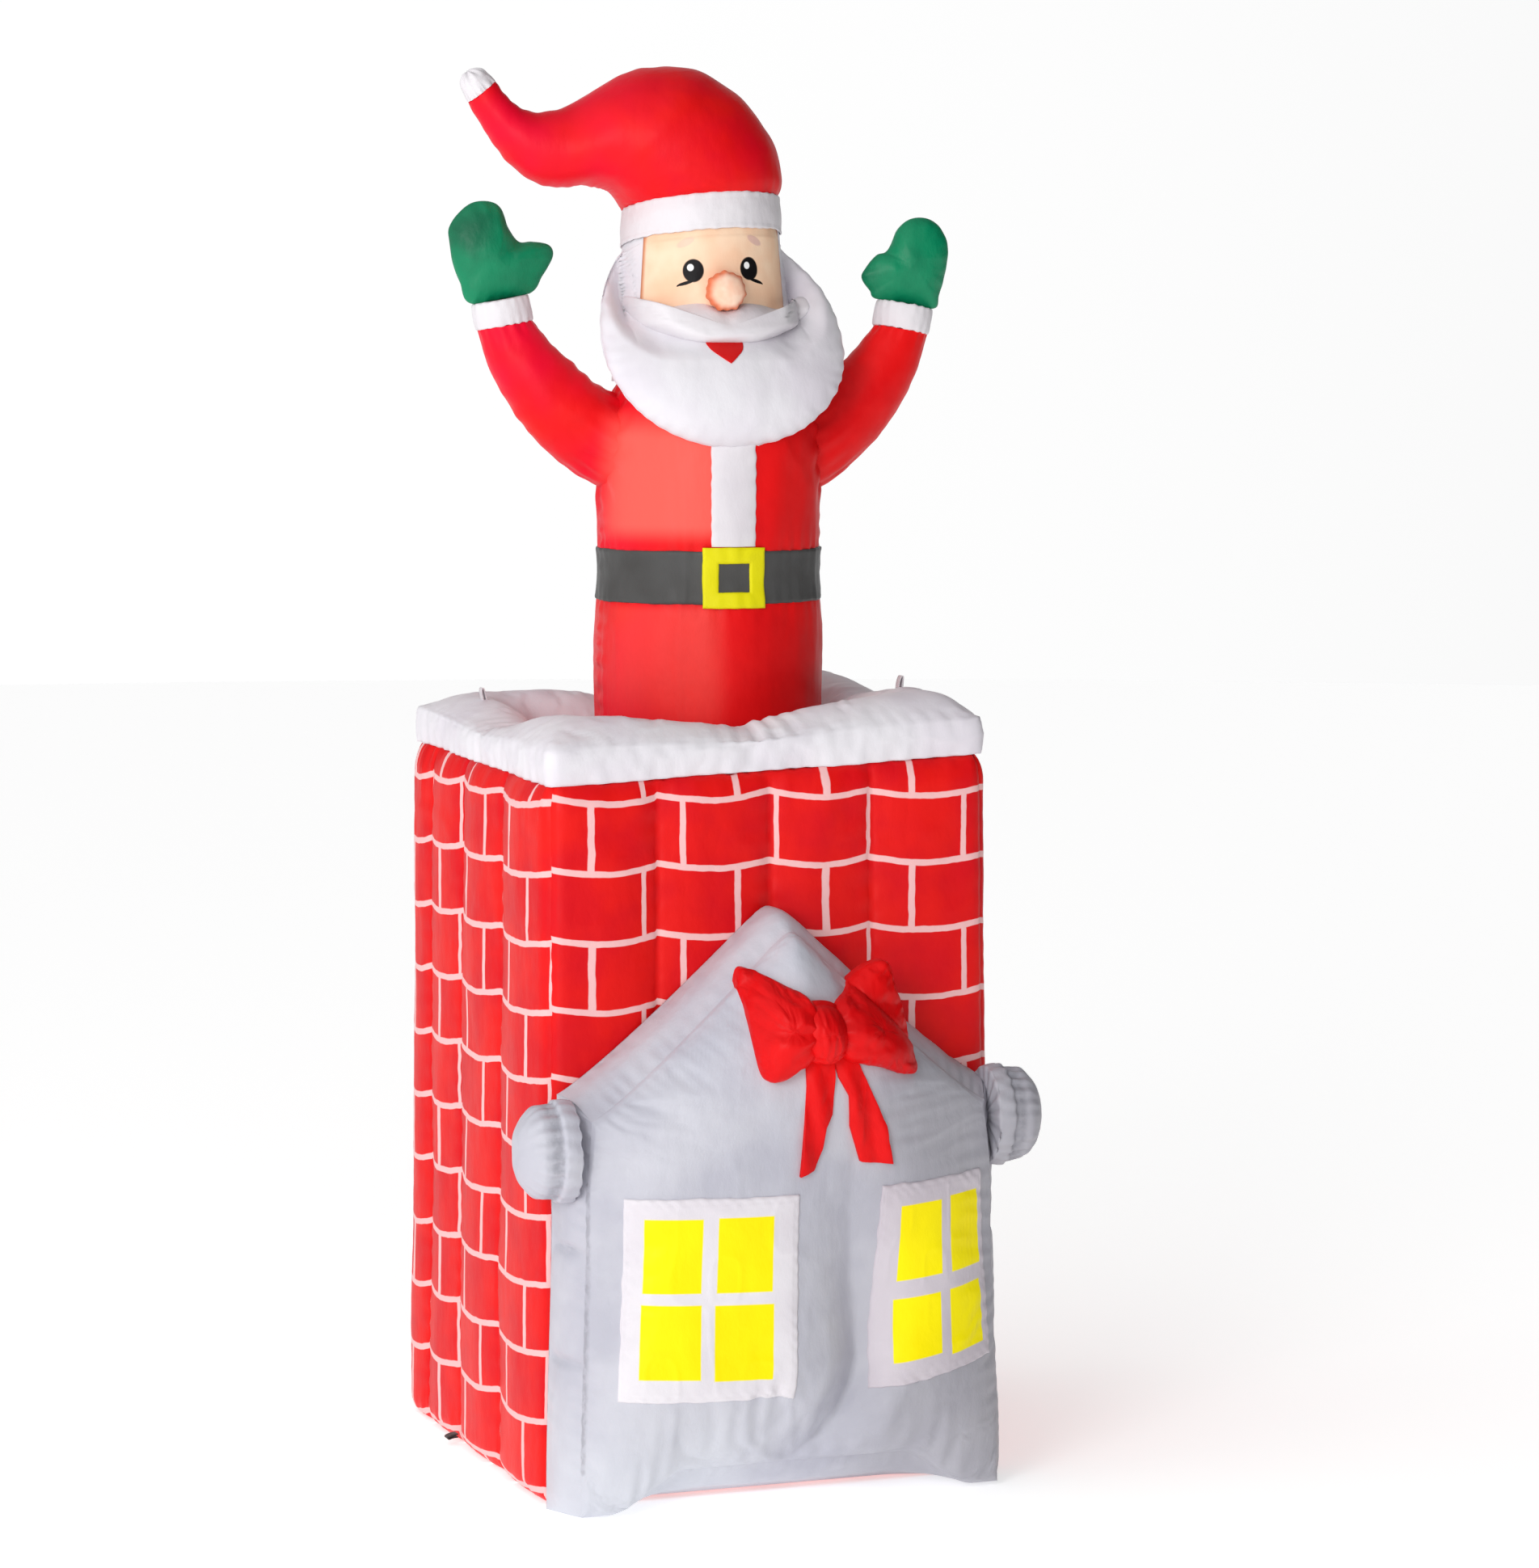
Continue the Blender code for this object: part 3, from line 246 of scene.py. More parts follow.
class Shell:
    """Collects grids of points and welds them into one smooth mesh."""

    def __init__(self, name: str, carrier: Carrier = Carrier.GROUND) -> None:
        """Starts an empty piece.

        Args:
            name: the name of the object to make.
            carrier: the frame that its points are in.
        """
        self.name = name
        self.carrier = carrier
        self.points: list[Array] = []
        self.faces: list[Array] = []
        self.prints: list[Array] = []
        self.count = 0

    @staticmethod
    def normals(grid: Array, wrap: bool) -> Array:
        """Unit normals of a grid, pointing away from its middle.

        Args:
            grid: rows of points.
            wrap: whether each row's last point is its first again.

        Returns:
            One unit vector for each point.
        """
        if wrap:
            padded = np.concatenate([grid[:, -2:-1], grid, grid[:, 1:2]], axis=1)
            across = padded[:, 2:] - padded[:, :-2]
        else:
            across = np.gradient(grid, axis=1)
        normal = np.cross(across, np.gradient(grid, axis=0))
        size = np.linalg.norm(normal, axis=-1, keepdims=True)
        return normal / np.maximum(size, 1e-12)

    def add(
        self,
        grid: Array,
        wrap: bool = False,
        lift: Optional[Array] = None,
        facing: Optional[Sequence[float]] = None,
        printed: Optional[Array] = None,
    ) -> "Shell":
        """Adds one grid.

        Args:
            grid: rows of points, as rows by columns by 3.
            wrap: whether each row's last point is its first again.
            lift: how far to push each point outwards.
            facing: the side that counts as outwards, if not away from the grid's middle.
            printed: print coordinates as rows by columns by 2, in metres.

        Returns:
            The shell itself.
        """
        grid = np.array(grid, float)
        rows, columns = grid.shape[:2]
        if lift is not None:
            normal = self.normals(grid, wrap)
            away = grid - grid.reshape(-1, 3).mean(axis=0) if facing is None else np.asarray(facing, float)
            if (normal * away).sum() < 0:
                normal = -normal
            grid = grid + normal * lift[..., None]
        if wrap:
            grid[:, -1] = grid[:, 0]
        if printed is None:
            u, v = np.meshgrid(np.linspace(0, 1, columns), np.linspace(0, 1, rows))
            printed = packed(u, v)
        index = np.arange(rows * columns).reshape(rows, columns) + self.count
        quads = packed(index[:-1, :-1], index[:-1, 1:], index[1:, 1:], index[1:, :-1])
        self.points.append(grid.reshape(-1, 3))
        self.faces.append(quads.reshape(-1, 4))
        self.prints.append(printed.reshape(-1, 2))
        self.count += rows * columns
        return self

    def build(self, finish: "Finish", *nodes: str, weld: float = 2e-5) -> Piece:
        """Makes the object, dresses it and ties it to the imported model.

        Args:
            finish: what the piece is made of.
            nodes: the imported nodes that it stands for.
            weld: how near two points are made one.

        Returns:
            The new object.
        """
        mesh = bpy.data.meshes.new(self.name)
        points = self.carrier.to_world(np.concatenate(self.points))
        faces = np.concatenate(self.faces)
        mesh.vertices.add(len(points))
        mesh.vertices.foreach_set("co", points.astype(np.float32).ravel())
        mesh.loops.add(faces.size)
        mesh.loops.foreach_set("vertex_index", faces.astype(np.int32).ravel())
        mesh.polygons.add(len(faces))
        mesh.polygons.foreach_set("loop_start", np.arange(0, faces.size, 4, dtype=np.int32))
        mesh.update(calc_edges=True)
        layer = mesh.uv_layers.new(name="print")
        layer.data.foreach_set("uv", np.concatenate(self.prints)[faces.ravel()].astype(np.float32).ravel())
        return tie(clean(self.name, mesh, weld), finish, *nodes)


def clean(name: str, mesh: bpy.types.Mesh, weld: float) -> Piece:
    """Welds a mesh, turns its faces outwards and links it as a smooth object."""
    shape = bmesh.new()
    shape.from_mesh(mesh)
    bmesh.ops.remove_doubles(shape, verts=shape.verts, dist=weld)
    bmesh.ops.dissolve_degenerate(shape, edges=shape.edges, dist=1e-6)
    bmesh.ops.recalc_face_normals(shape, faces=shape.faces)
    shape.to_mesh(mesh)
    shape.free()
    mesh.shade_smooth()
    obj = bpy.data.objects.new(name, mesh)
    bpy.context.scene.collection.objects.link(obj)
    return obj


def tie(obj: Piece, finish: "Finish", *nodes: str) -> Piece:
    """Dresses a piece, rides it on the one body and hides what it stands for."""
    obj.data.materials.clear()
    obj.data.materials.append(finish.material())
    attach(obj, "root")
    if nodes:
        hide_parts(*nodes)
    LOG.info("%s: %d faces, %s", obj.name, len(obj.data.polygons), finish.name)
    return obj


def _operator(operation: str, swapped: bool = False) -> Callable[["Wire", "Value"], "Wire"]:
    """Makes a method of Wire that adds one Math node for two values.

    Args:
        operation: the Math node's operation.
        swapped: whether the other value comes first, as in 1 - wire.

    Returns:
        The method.
    """

    def method(self: "Wire", other: "Value") -> "Wire":
        """Adds the Math node for this wire and another value."""
        first, second = (other, self) if swapped else (self, other)
        return self._math(operation, first, second)

    return method


class Wire:
    """A shader socket that takes part in Python arithmetic."""

    def __init__(self, paint: "Paint", socket: bpy.types.NodeSocket) -> None:
        """Wraps one output socket of the paint's node tree."""
        self.paint = paint
        self.socket = socket

    def _math(self, operation: str, first: "Value", second: "Value" = 0.0) -> "Wire":
        """Adds one Math node."""
        return self.paint.add("ShaderNodeMath", {"operation": operation}, [first, second])

    __add__ = __radd__ = _operator("ADD")
    __sub__, __rsub__ = _operator("SUBTRACT"), _operator("SUBTRACT", True)
    __mul__ = __rmul__ = _operator("MULTIPLY")
    __truediv__, __rtruediv__ = _operator("DIVIDE"), _operator("DIVIDE", True)
    __mod__, __rmod__ = _operator("FLOORED_MODULO"), _operator("FLOORED_MODULO", True)
    least, most = _operator("MINIMUM"), _operator("MAXIMUM")

    def floor(self) -> "Wire":
        """The whole number below."""
        return self._math("FLOOR", self)

    def size(self) -> "Wire":
        """The value without its sign."""
        return self._math("ABSOLUTE", self)

    def root(self) -> "Wire":
        """The square root."""
        return self._math("SQRT", self)

    def fade(self, start: float, end: float) -> "Wire":
        """Goes smoothly from 0 at start to 1 at end.

        Args:
            start: the value that gives 0.
            end: the value that gives 1, above or below start.

        Returns:
            The faded value.
        """
        if start > end:
            return 1.0 - self.fade(end, start)
        settings = {"interpolation_type": "SMOOTHSTEP"}
        return self.paint.add(
            "ShaderNodeMapRange", settings, {"Value": self, "From Min": start, "From Max": end}
        )


Value = Union[Wire, float]
Tint = Union[Wire, Colour]


class Paint:
    """One material's nodes, built from Python expressions."""

    def __init__(self, name: str) -> None:
        """Starts a material with an empty Principled shader."""
        self.material = bpy.data.materials.new(name)
        self.material.use_nodes = True
        self.tree = self.material.node_tree
        self.shader = self.tree.nodes["Principled BSDF"]

    def _feed(self, socket: bpy.types.NodeSocket, value: Any) -> None:
        """Links a wire to a socket, or sets a plain value on it."""
        if isinstance(value, Wire):
            self.tree.links.new(value.socket, socket)
        elif isinstance(value, tuple) and len(value) == 3 and socket.type == "RGBA":
            socket.default_value = (*value, 1.0)
        else:
            socket.default_value = value

    def add(
        self,
        kind: str,
        settings: Optional[dict[str, Any]] = None,
        inputs: Union[Sequence[Any], dict[Union[str, int], Any], None] = None,
        output: Union[str, int] = 0,
    ) -> Wire:
        """Adds any node.

        Args:
            kind: the node's type name.
            settings: its properties, which are set first.
            inputs: values or wires, in order or by socket name or number.
            output: which output to give back.

        Returns:
            The node's output.
        """
        node = self.tree.nodes.new(kind)
        for name, value in (settings or {}).items():
            setattr(node, name, value)
        pairs = inputs.items() if isinstance(inputs, dict) else enumerate(inputs or [])
        for key, value in pairs:
            self._feed(node.inputs[key], value)
        return Wire(self, node.outputs[output])

    def mix(self, factor: Value, first: Tint, second: Tint) -> Wire:
        """Mixes two colours: first where the factor is 0, second where it is 1."""
        settings = {"data_type": "RGBA", "clamp_factor": True}
        return self.add("ShaderNodeMix", settings, {0: factor, 6: first, 7: second}, output=2)

    def place(self) -> Wire:
        """The place on the object, in metres."""
        return self.add("ShaderNodeTexCoord", None, None, output="Object")

    def axes(self, vector: Wire) -> tuple[Wire, Wire, Wire]:
        """The three numbers of a vector."""
        first = self.add("ShaderNodeSeparateXYZ", None, [vector])
        outputs = first.socket.node.outputs
        return first, Wire(self, outputs[1]), Wire(self, outputs[2])

    def printed(self) -> tuple[Wire, Wire]:
        """The print coordinates, in metres across and up the cloth."""
        u, v, _ = self.axes(self.add("ShaderNodeUVMap", {"uv_map": "print"}))
        return u, v

    def clouds(self, size: float, detail: float = 3.0, stretch: Colour = (1.0, 1.0, 1.0)) -> Wire:
        """Noise from 0 to 1 with patches of this size.

        Args:
            size: the size of a patch in metres.
            detail: how many finer layers lie on it.
            stretch: more than 1 on an axis packs the patches closer along it.

        Returns:
            The noise.
        """
        place = self.add("ShaderNodeVectorMath", {"operation": "MULTIPLY"}, [self.place(), stretch])
        inputs = {"Vector": place, "Scale": 1.0 / size, "Detail": detail, "Roughness": 0.55}
        return self.add("ShaderNodeTexNoise", {"noise_dimensions": "3D"}, inputs)

    def bump(self, height: Wire, strength: float, distance: float, under: Optional[Wire] = None) -> Wire:
        """Adds a Bump node, on top of another one if given."""
        inputs = {"Strength": strength, "Distance": distance, "Height": height}
        if under is not None:
            inputs["Normal"] = under
        return self.add("ShaderNodeBump", None, inputs)

    def put(self, **values: Any) -> None:
        """Feeds the shader's own sockets, named with underscores for spaces."""
        for name, value in values.items():
            self._feed(self.shader.inputs[name.replace("_", " ")], value)


class Sky(Paint):
    """The surroundings' nodes, built in the same way."""

    def __init__(self, name: str) -> None:
        """Starts a world with a plain white background."""
        self.material = bpy.data.worlds.new(name)
        self.material.use_nodes = True
        self.tree = self.material.node_tree
        self.shader = self.tree.nodes["Background"]
        self.shader.inputs["Color"].default_value = (1.0, 1.0, 1.0, 1.0)

    def toward(self, direction: Colour) -> Wire:
        """How far a direction agrees with this one, from -1 to 1."""
        way = self.add("ShaderNodeTexCoord", None, None, output="Generated")
        return self.add(
            "ShaderNodeVectorMath", {"operation": "DOT_PRODUCT"}, [way, direction], output="Value"
        )


class Finish:
    """A finish that makes its material once."""

    name: str
    slot: str
    _made: ClassVar[dict[str, bpy.types.Material]] = {}

    def dress(self, paint: Paint) -> None:
        """Wires the material."""
        raise NotImplementedError

    def material(self) -> bpy.types.Material:
        """The finish's material, made on first use."""
        if self.name not in self._made:
            paint = Paint(self.name)
            self.dress(paint)
            self._made[self.name] = paint.material
        return self._made[self.name]


@dataclass(frozen=True)
class Satin(Finish):
    """Thin satin polyester, blown tight."""

    name: str
    slot: str
    colour: Colour
    deep: Colour
    rough: float = 0.44
    crumple: float = 0.35
    gloss: float = 0.14

    def cloth(self, paint: Paint) -> Wire:
        """The weave and the fine crumple of thin cloth, as a normal."""
        x, y, z = paint.axes(paint.place())
        thread = 0.0011
        weave = ((x + y) / thread) % 1.0
        warp = (weave - 0.5).size() * 2.0
        weft = ((z / thread) % 1.0 - 0.5).size() * 2.0
        woven = paint.bump(warp * weft, 0.10, 0.0003)
        fine = paint.bump(paint.clouds(0.011, 4.0, (1.0, 1.0, 0.6)), self.crumple, 0.0016, woven)
        return paint.bump(paint.clouds(0.055, 2.0, (1.0, 1.0, 0.5)), self.crumple, 0.006, fine)

    def tone(self, paint: Paint) -> Tint:
        """The dyed colour with its slow unevenness."""
        return paint.mix(paint.clouds(0.12, 3.0).fade(0.35, 0.72), self.colour, self.deep)

    def dress(self, paint: Paint) -> None:
        """Wires satin cloth."""
        tone = self.tone(paint)
        rough = self.rough + 0.10 * (paint.clouds(0.03, 3.0) - 0.5)
        paint.put(Base_Color=tone, Roughness=rough, Normal=self.cloth(paint), Specular_IOR_Level=self.gloss)


@dataclass(frozen=True)
class SuitSatin(Satin):
    """Red satin with painted light: a lighter, pinker red over the left side, and a paler glow on the
    body's left front, where the light inside shows through.
    """

    # Painted glow: the paler red mixed over the lit left front.
    lit: Colour = (1.0, 0.13, 0.10)
    # Painted light: the lighter, pinker red mixed over the left side.
    painted_left_light: Colour = (0.88, 0.002, 0.040)

    def tone(self, paint: Paint) -> Tint:
        """The red, with painted light: a lighter, pinker red over the left side and a paler glow over the
        lit front.
        """
        x, y, z = paint.axes(paint.place())
        # Mask of the painted glow over the left front.
        across = x.fade(0.004, -0.030) * x.fade(-0.150, -0.108) * y.fade(0.02, -0.04)
        upper = z.fade(1.185, 1.215) * z.fade(1.37, 1.32)
        lower = z.fade(0.92, 1.02) * z.fade(1.115, 1.10) * 0.30
        # Mask of the painted light over the left side.
        left = x.fade(-0.03, -0.20) * paint.clouds(0.16, 2.0).fade(0.30, 0.60)
        red = paint.mix(left * 0.8, super().tone(paint), self.painted_left_light)
        return paint.mix(across * (upper + lower) * 0.85, red, self.lit)


@dataclass(frozen=True)
class SeamedSatin(Satin):
    """Satin with a dark, gathered line of stitches. Its print is the distance to the nearest seam."""

    stitch: Colour = (0.17, 0.17, 0.20)
    # Painted shade: the duller colour mixed over the right half, below the gable.
    painted_right_shade: Colour = (0.27, 0.255, 0.28)
    # Painted light: the paler colour mixed over the left foot.
    painted_foot_light: Colour = (0.68, 0.71, 0.76)

    def tone(self, paint: Paint) -> Tint:
        """The cloth, with painted shade on the right and painted light at the left foot, its seams dark in
        broken lengths.
        """
        x, _, z = paint.axes(paint.place())
        # Mask of the painted shade over the right half, below the gable.
        right = x.fade(-0.01, 0.16) * z.fade(0.66, 0.46)
        # Mask of the painted light over the left foot.
        foot = x.fade(-0.02, -0.14) * z.fade(0.20, 0.03)
        cloth = paint.mix(right * 0.50, super().tone(paint), self.painted_right_shade)
        cloth = paint.mix(foot * 0.45, cloth, self.painted_foot_light)
        away, _ = paint.printed()
        broken = paint.clouds(0.012, 3.0).fade(0.40, 0.60)
        line = away.fade(0.0034, 0.0006) * (0.45 + 0.55 * broken)
        return paint.mix(line * 0.42, cloth, self.stitch)


@dataclass(frozen=True)
class BrickPrint(Satin):
    """Red satin printed with a running bond of bricks."""

    mortar: Colour = (0.90, 0.52, 0.52)
    course: float = 0.0858
    first: float = 0.8807
    brick: float = 0.127
    joint: float = 0.0078

    def tone(self, paint: Paint) -> Tint:
        """Bricks with pale joints, a little uneven from brick to brick."""
        u, v = paint.printed()
        drift = (paint.clouds(0.03, 2.0) - 0.5) * 0.004
        row = (self.first - v + drift) / self.course
        course = row.floor()
        flat = ((row - course - 0.5).size() * -1.0 + 0.5) * self.course
        along = (u + drift) / self.brick + (course % 2.0) * 0.5
        column = along.floor()
        upright = ((along - column - 0.5).size() * -1.0 + 0.5) * self.brick
        half = self.joint / 2
        joint = flat.least(upright).fade(half + 0.0006, half - 0.0006)
        pick = paint.add("ShaderNodeCombineXYZ", None, [column, course, 0.0])
        each = paint.add("ShaderNodeTexWhiteNoise", {"noise_dimensions": "3D"}, {"Vector": pick})
        cloth = paint.mix(paint.clouds(0.10, 3.0).fade(0.35, 0.7), self.colour, self.deep)
        cloth = paint.mix(each * 0.18, cloth, self.deep)
        return paint.mix(joint, cloth, self.mortar)


@dataclass(frozen=True)
class WindowPrint(Satin):
    """White satin with four lit panes. Its print runs from 0 to 1 across and up."""

    pane: Colour = (1.0, 0.86, 0.0)
    panes: tuple[tuple[float, float, float, float], ...] = ()

    def tone(self, paint: Paint) -> Tint:
        """Four panes with soft edges on the white cloth."""
        u, v = paint.printed()
        lit: Value = 0.0
        for left, right, bottom, top in self.panes:
            across = (u - (left + right) / 2).size() - (right - left) / 2
            up = (v - (bottom + top) / 2).size() - (top - bottom) / 2
            inside = across.most(up).fade(0.004, -0.004)
            lit = inside if isinstance(lit, float) else lit.most(inside)
        cloth = super().tone(paint)
        deep = paint.mix(paint.clouds(0.10, 2.0).fade(0.3, 0.8), self.pane, (0.96, 0.80, 0.0))
        return paint.mix(lit, cloth, deep)


@dataclass(frozen=True)
class FacePrint(Satin):
    """Peach satin printed with two eyes and pale brows. Its print is in metres round and up the head."""

    edge: Colour = (0.62, 0.20, 0.08)
    half: float = 0.109
    eyes: tuple[tuple[float, float, float, float], ...] = ()

    def oval(
        self, u: Wire, v: Wire, middle: tuple[float, float], half: tuple[float, float], lean: float
    ) -> Wire:
        """The share of the way from the middle of a leaning oval to its rim."""
        sine, cosine = math.sin(lean), math.cos(lean)
        across, up = u - middle[0], v - middle[1]
        first = (across * cosine + up * sine) / half[0]
        second = (up * cosine - across * sine) / half[1]
        return (first * first + second * second).root()

    def tone(self, paint: Paint) -> Tint:
        """Skin, darker at its side edges, then brows, eyes, lashes and the light in the eyes."""
        u, v = paint.printed()
        skin = paint.mix(paint.clouds(0.05, 2.0).fade(0.3, 0.7), self.colour, self.deep)
        edge = u.size().fade(self.half - 0.009, self.half - 0.002)
        skin = paint.mix(edge * 0.85, skin, self.edge)
        for side, (x, z, wide, tall) in zip((-1, 1), self.eyes):
            brow = self.oval(u, v, (x + side * 0.010, z + 0.036), (0.0125, 0.0052), -side * 0.45)
            strength = 0.55 if side > 0 else 0.25
            skin = paint.mix(brow.fade(1.1, 0.8) * strength, skin, (0.62, 0.36, 0.38))
            ball = self.oval(u, v, (x, z), (wide, tall), 0.0)
            lash = self.oval(u, v, (x + side * 0.009, z - tall - 0.001), (0.0105, 0.0022), side * -0.30)
            flick = self.oval(u, v, (x + side * 0.0165, z - tall - 0.003), (0.0045, 0.0013), side * -0.55)
            black = ball.least(lash).least(flick).fade(1.06, 0.94)
            skin = paint.mix(black, skin, (0.006, 0.005, 0.006))
            glint = self.oval(u, v, (x - 0.0035, z + 0.004), (0.0042, 0.0046), 0.0)
            skin = paint.mix(glint.fade(1.1, 0.85), skin, (0.95, 0.95, 0.95))
        return skin


@dataclass(frozen=True)
class NoseSatin(Satin):
    """Peach satin that is redder where the ball turns away to its seam."""

    rim: Colour = (0.78, 0.20, 0.09)

    def tone(self, paint: Paint) -> Tint:
        """Skin that darkens from the front of the ball to its back."""
        _, v = paint.printed()
        skin = paint.mix(paint.clouds(0.02, 2.0).fade(0.3, 0.7), self.colour, self.deep)
        return paint.mix(v.fade(0.24, 0.47), skin, self.rim)


@dataclass(frozen=True)
class Webbing(Finish):
    """Narrow woven tape with a ribbed face."""

    name: str
    slot: str
    colour: Colour

    def dress(self, paint: Paint) -> None:
        """Wires ribbed tape."""
        _, y, z = paint.axes(paint.place())
        rib = ((y / 0.0016) % 1.0 - 0.5).size() * 2.0
        cross = ((z / 0.0012) % 1.0 - 0.5).size() * 2.0
        deep = tuple(0.6 * value for value in self.colour)
        tone = paint.mix(rib * 0.35, self.colour, deep)
        normal = paint.bump(rib * cross, 0.5, 0.0006)
        paint.put(Base_Color=tone, Roughness=0.7, Normal=normal, Sheen_Weight=0.2)


# The suit's red carries painted light: a lighter, pinker red on the left of the torso and the left arm, and
# a paler glow on the torso's left front.
SUIT = SuitSatin("suit red satin", "suit_red", (0.82, 0.006, 0.007), (0.70, 0.003, 0.006))
# The hat's red carries the same painted light: a lighter, pinker red over its left side.
BAG = SuitSatin("hat red satin", "suit_red", (0.82, 0.007, 0.006), (0.74, 0.002, 0.016))
RIBBON = Satin("bow red satin", "suit_red", (0.78, 0.005, 0.006), (0.62, 0.002, 0.004), crumple=0.45)
SNOW = Satin("snow white satin", "snow_white", (0.80, 0.78, 0.82), (0.73, 0.69, 0.75))
TRIM = Satin("trim white satin", "snow_white", (0.78, 0.75, 0.78), (0.70, 0.66, 0.70), crumple=0.45)
BELT = Satin("belt grey satin", "belt_grey", (0.085, 0.085, 0.084), (0.060, 0.058, 0.056))
BUCKLE = Satin("buckle yellow satin", "buckle_yellow", (0.80, 0.74, 0.006), (0.70, 0.64, 0.004))
GREEN = Satin(
    "mitten green satin", "mitten_green", (0.000, 0.250, 0.110), (0.000, 0.115, 0.052), crumple=0.75,
    gloss=0.30
)
# The house's grey, also used on the eaves, carries painted shade on the right and painted light at the left
# foot.
GREY = SeamedSatin(
    "house grey satin", "house_grey", (0.56, 0.56, 0.62), (0.47, 0.47, 0.54), crumple=0.5, gloss=0.30
)
MOUTH = Satin("mouth red satin", "mouth_red", (0.66, 0.010, 0.010), (0.55, 0.006, 0.008))
BRICK = BrickPrint(
    "brick print satin", "brick_red", (0.80, 0.008, 0.006), (0.68, 0.003, 0.009), brick=0.1225
)
LEFT_GLASS = WindowPrint(
    "left window print",
    "snow_white",
    (0.78, 0.75, 0.79),
    (0.71, 0.67, 0.72),
    panes=(
        (0.107, 0.434, 0.535, 0.900), (0.520, 0.842, 0.535, 0.905), (0.100, 0.436, 0.112, 0.478),
        (0.512, 0.852, 0.105, 0.475)
    ),
)
# Painted shade: the right window has the same print as the left, but its white is painted darker, as the
# house's right half lies in shade.
SHADED_RIGHT_GLASS = WindowPrint(
    "right window print",
    "snow_white",
    (0.62, 0.57, 0.62),
    (0.54, 0.49, 0.54),
    panes=(
        (0.168, 0.545, 0.510, 0.890), (0.635, 0.945, 0.505, 0.900), (0.150, 0.525, 0.110, 0.420),
        (0.610, 0.930, 0.085, 0.420)
    ),
)
SKIN = FacePrint(
    "face print satin",
    "skin_peach",
    (0.98, 0.72, 0.52),
    (0.94, 0.60, 0.40),
    eyes=((-0.0365, 1.537, 0.0130, 0.0148), (0.0355, 1.540, 0.0130, 0.0148)),
)
NOSE = NoseSatin("nose satin", "skin_peach", (0.98, 0.70, 0.54), (0.95, 0.56, 0.40))
BLACK_TAPE = Webbing("black webbing", "webbing_black", (0.02, 0.02, 0.02))
WHITE_TAPE = Webbing("white webbing", "snow_white", (0.74, 0.69, 0.72))


@dataclass
class Blower:
    """Blows sewn cloth up with Blender's cloth solver, its seams held."""

    pressure: float = 4.0
    frames: int = 20
    quality: int = 4

    def blow(self, piece: Piece, held: Array, growth: float, most: float) -> Array:
        """Blows one piece up and keeps the result in its mesh.

        Args:
            piece: a closed piece.
            held: which of its points the seams hold.
            growth: how much longer the cloth is than its seams, as a share.
            most: the furthest that a point may move, in metres.

        Returns:
            How far each point moved.
        """
        seams = piece.vertex_groups.new(name="seams")
        seams.add(np.nonzero(held)[0].tolist(), 1.0, "REPLACE")
        cloth = piece.modifiers.new("blown", "CLOTH")
        settings = cloth.settings
        settings.quality = self.quality
        settings.vertex_group_mass = seams.name
        settings.use_pressure = True
        settings.uniform_pressure_force = self.pressure
        settings.shrink_min = -growth
        settings.bending_stiffness = 0.05
        settings.effector_weights.gravity = 0.0
        cloth.collision_settings.use_collision = False
        cloth.point_cache.frame_start = 1
        cloth.point_cache.frame_end = self.frames
        for frame_number in range(1, self.frames + 1):
            bpy.context.scene.frame_set(frame_number)
        graph = bpy.context.evaluated_depsgraph_get()
        blown = points_of(piece.evaluated_get(graph).data)
        piece.modifiers.remove(cloth)
        piece.vertex_groups.remove(seams)
        bpy.context.scene.frame_set(1)
        still = points_of(piece.data)
        moved = blown - still
        length = np.linalg.norm(moved, axis=1, keepdims=True)
        moved *= most * np.tanh(length / most) / np.maximum(length, 1e-9)
        place_points(piece.data, still + moved)
        LOG.info("blew %s, most %.4f m", piece.name, float(length.max()))
        return moved

    @staticmethod
    def carry(before: Array, moved: Array, sewn: Sequence[Piece]) -> None:
        """Moves the pieces that are sewn on a blown piece along with it.

        Args:
            before: the blown piece's points before it was blown.
            moved: how far each of them moved.
            sewn: the pieces that lie on it.
        """
        tree = KDTree(len(before))
        for index, point in enumerate(before):
            tree.insert(point, index)
        tree.balance()
        for piece in sewn:
            points = points_of(piece.data)
            nearest = [[index for _, index, _ in tree.find_n(point, 4)] for point in points]
            place_points(piece.data, points + moved[np.array(nearest)].mean(axis=1))


def points_of(mesh: bpy.types.Mesh) -> Array:
    """A mesh's points, one row each."""
    points = np.empty(3 * len(mesh.vertices))
    mesh.vertices.foreach_get("co", points)
    return points.reshape(-1, 3)


def place_points(mesh: bpy.types.Mesh, points: Array) -> None:
    """Puts a mesh's points in new places."""
    mesh.vertices.foreach_set("co", points.ravel())
    mesh.update()


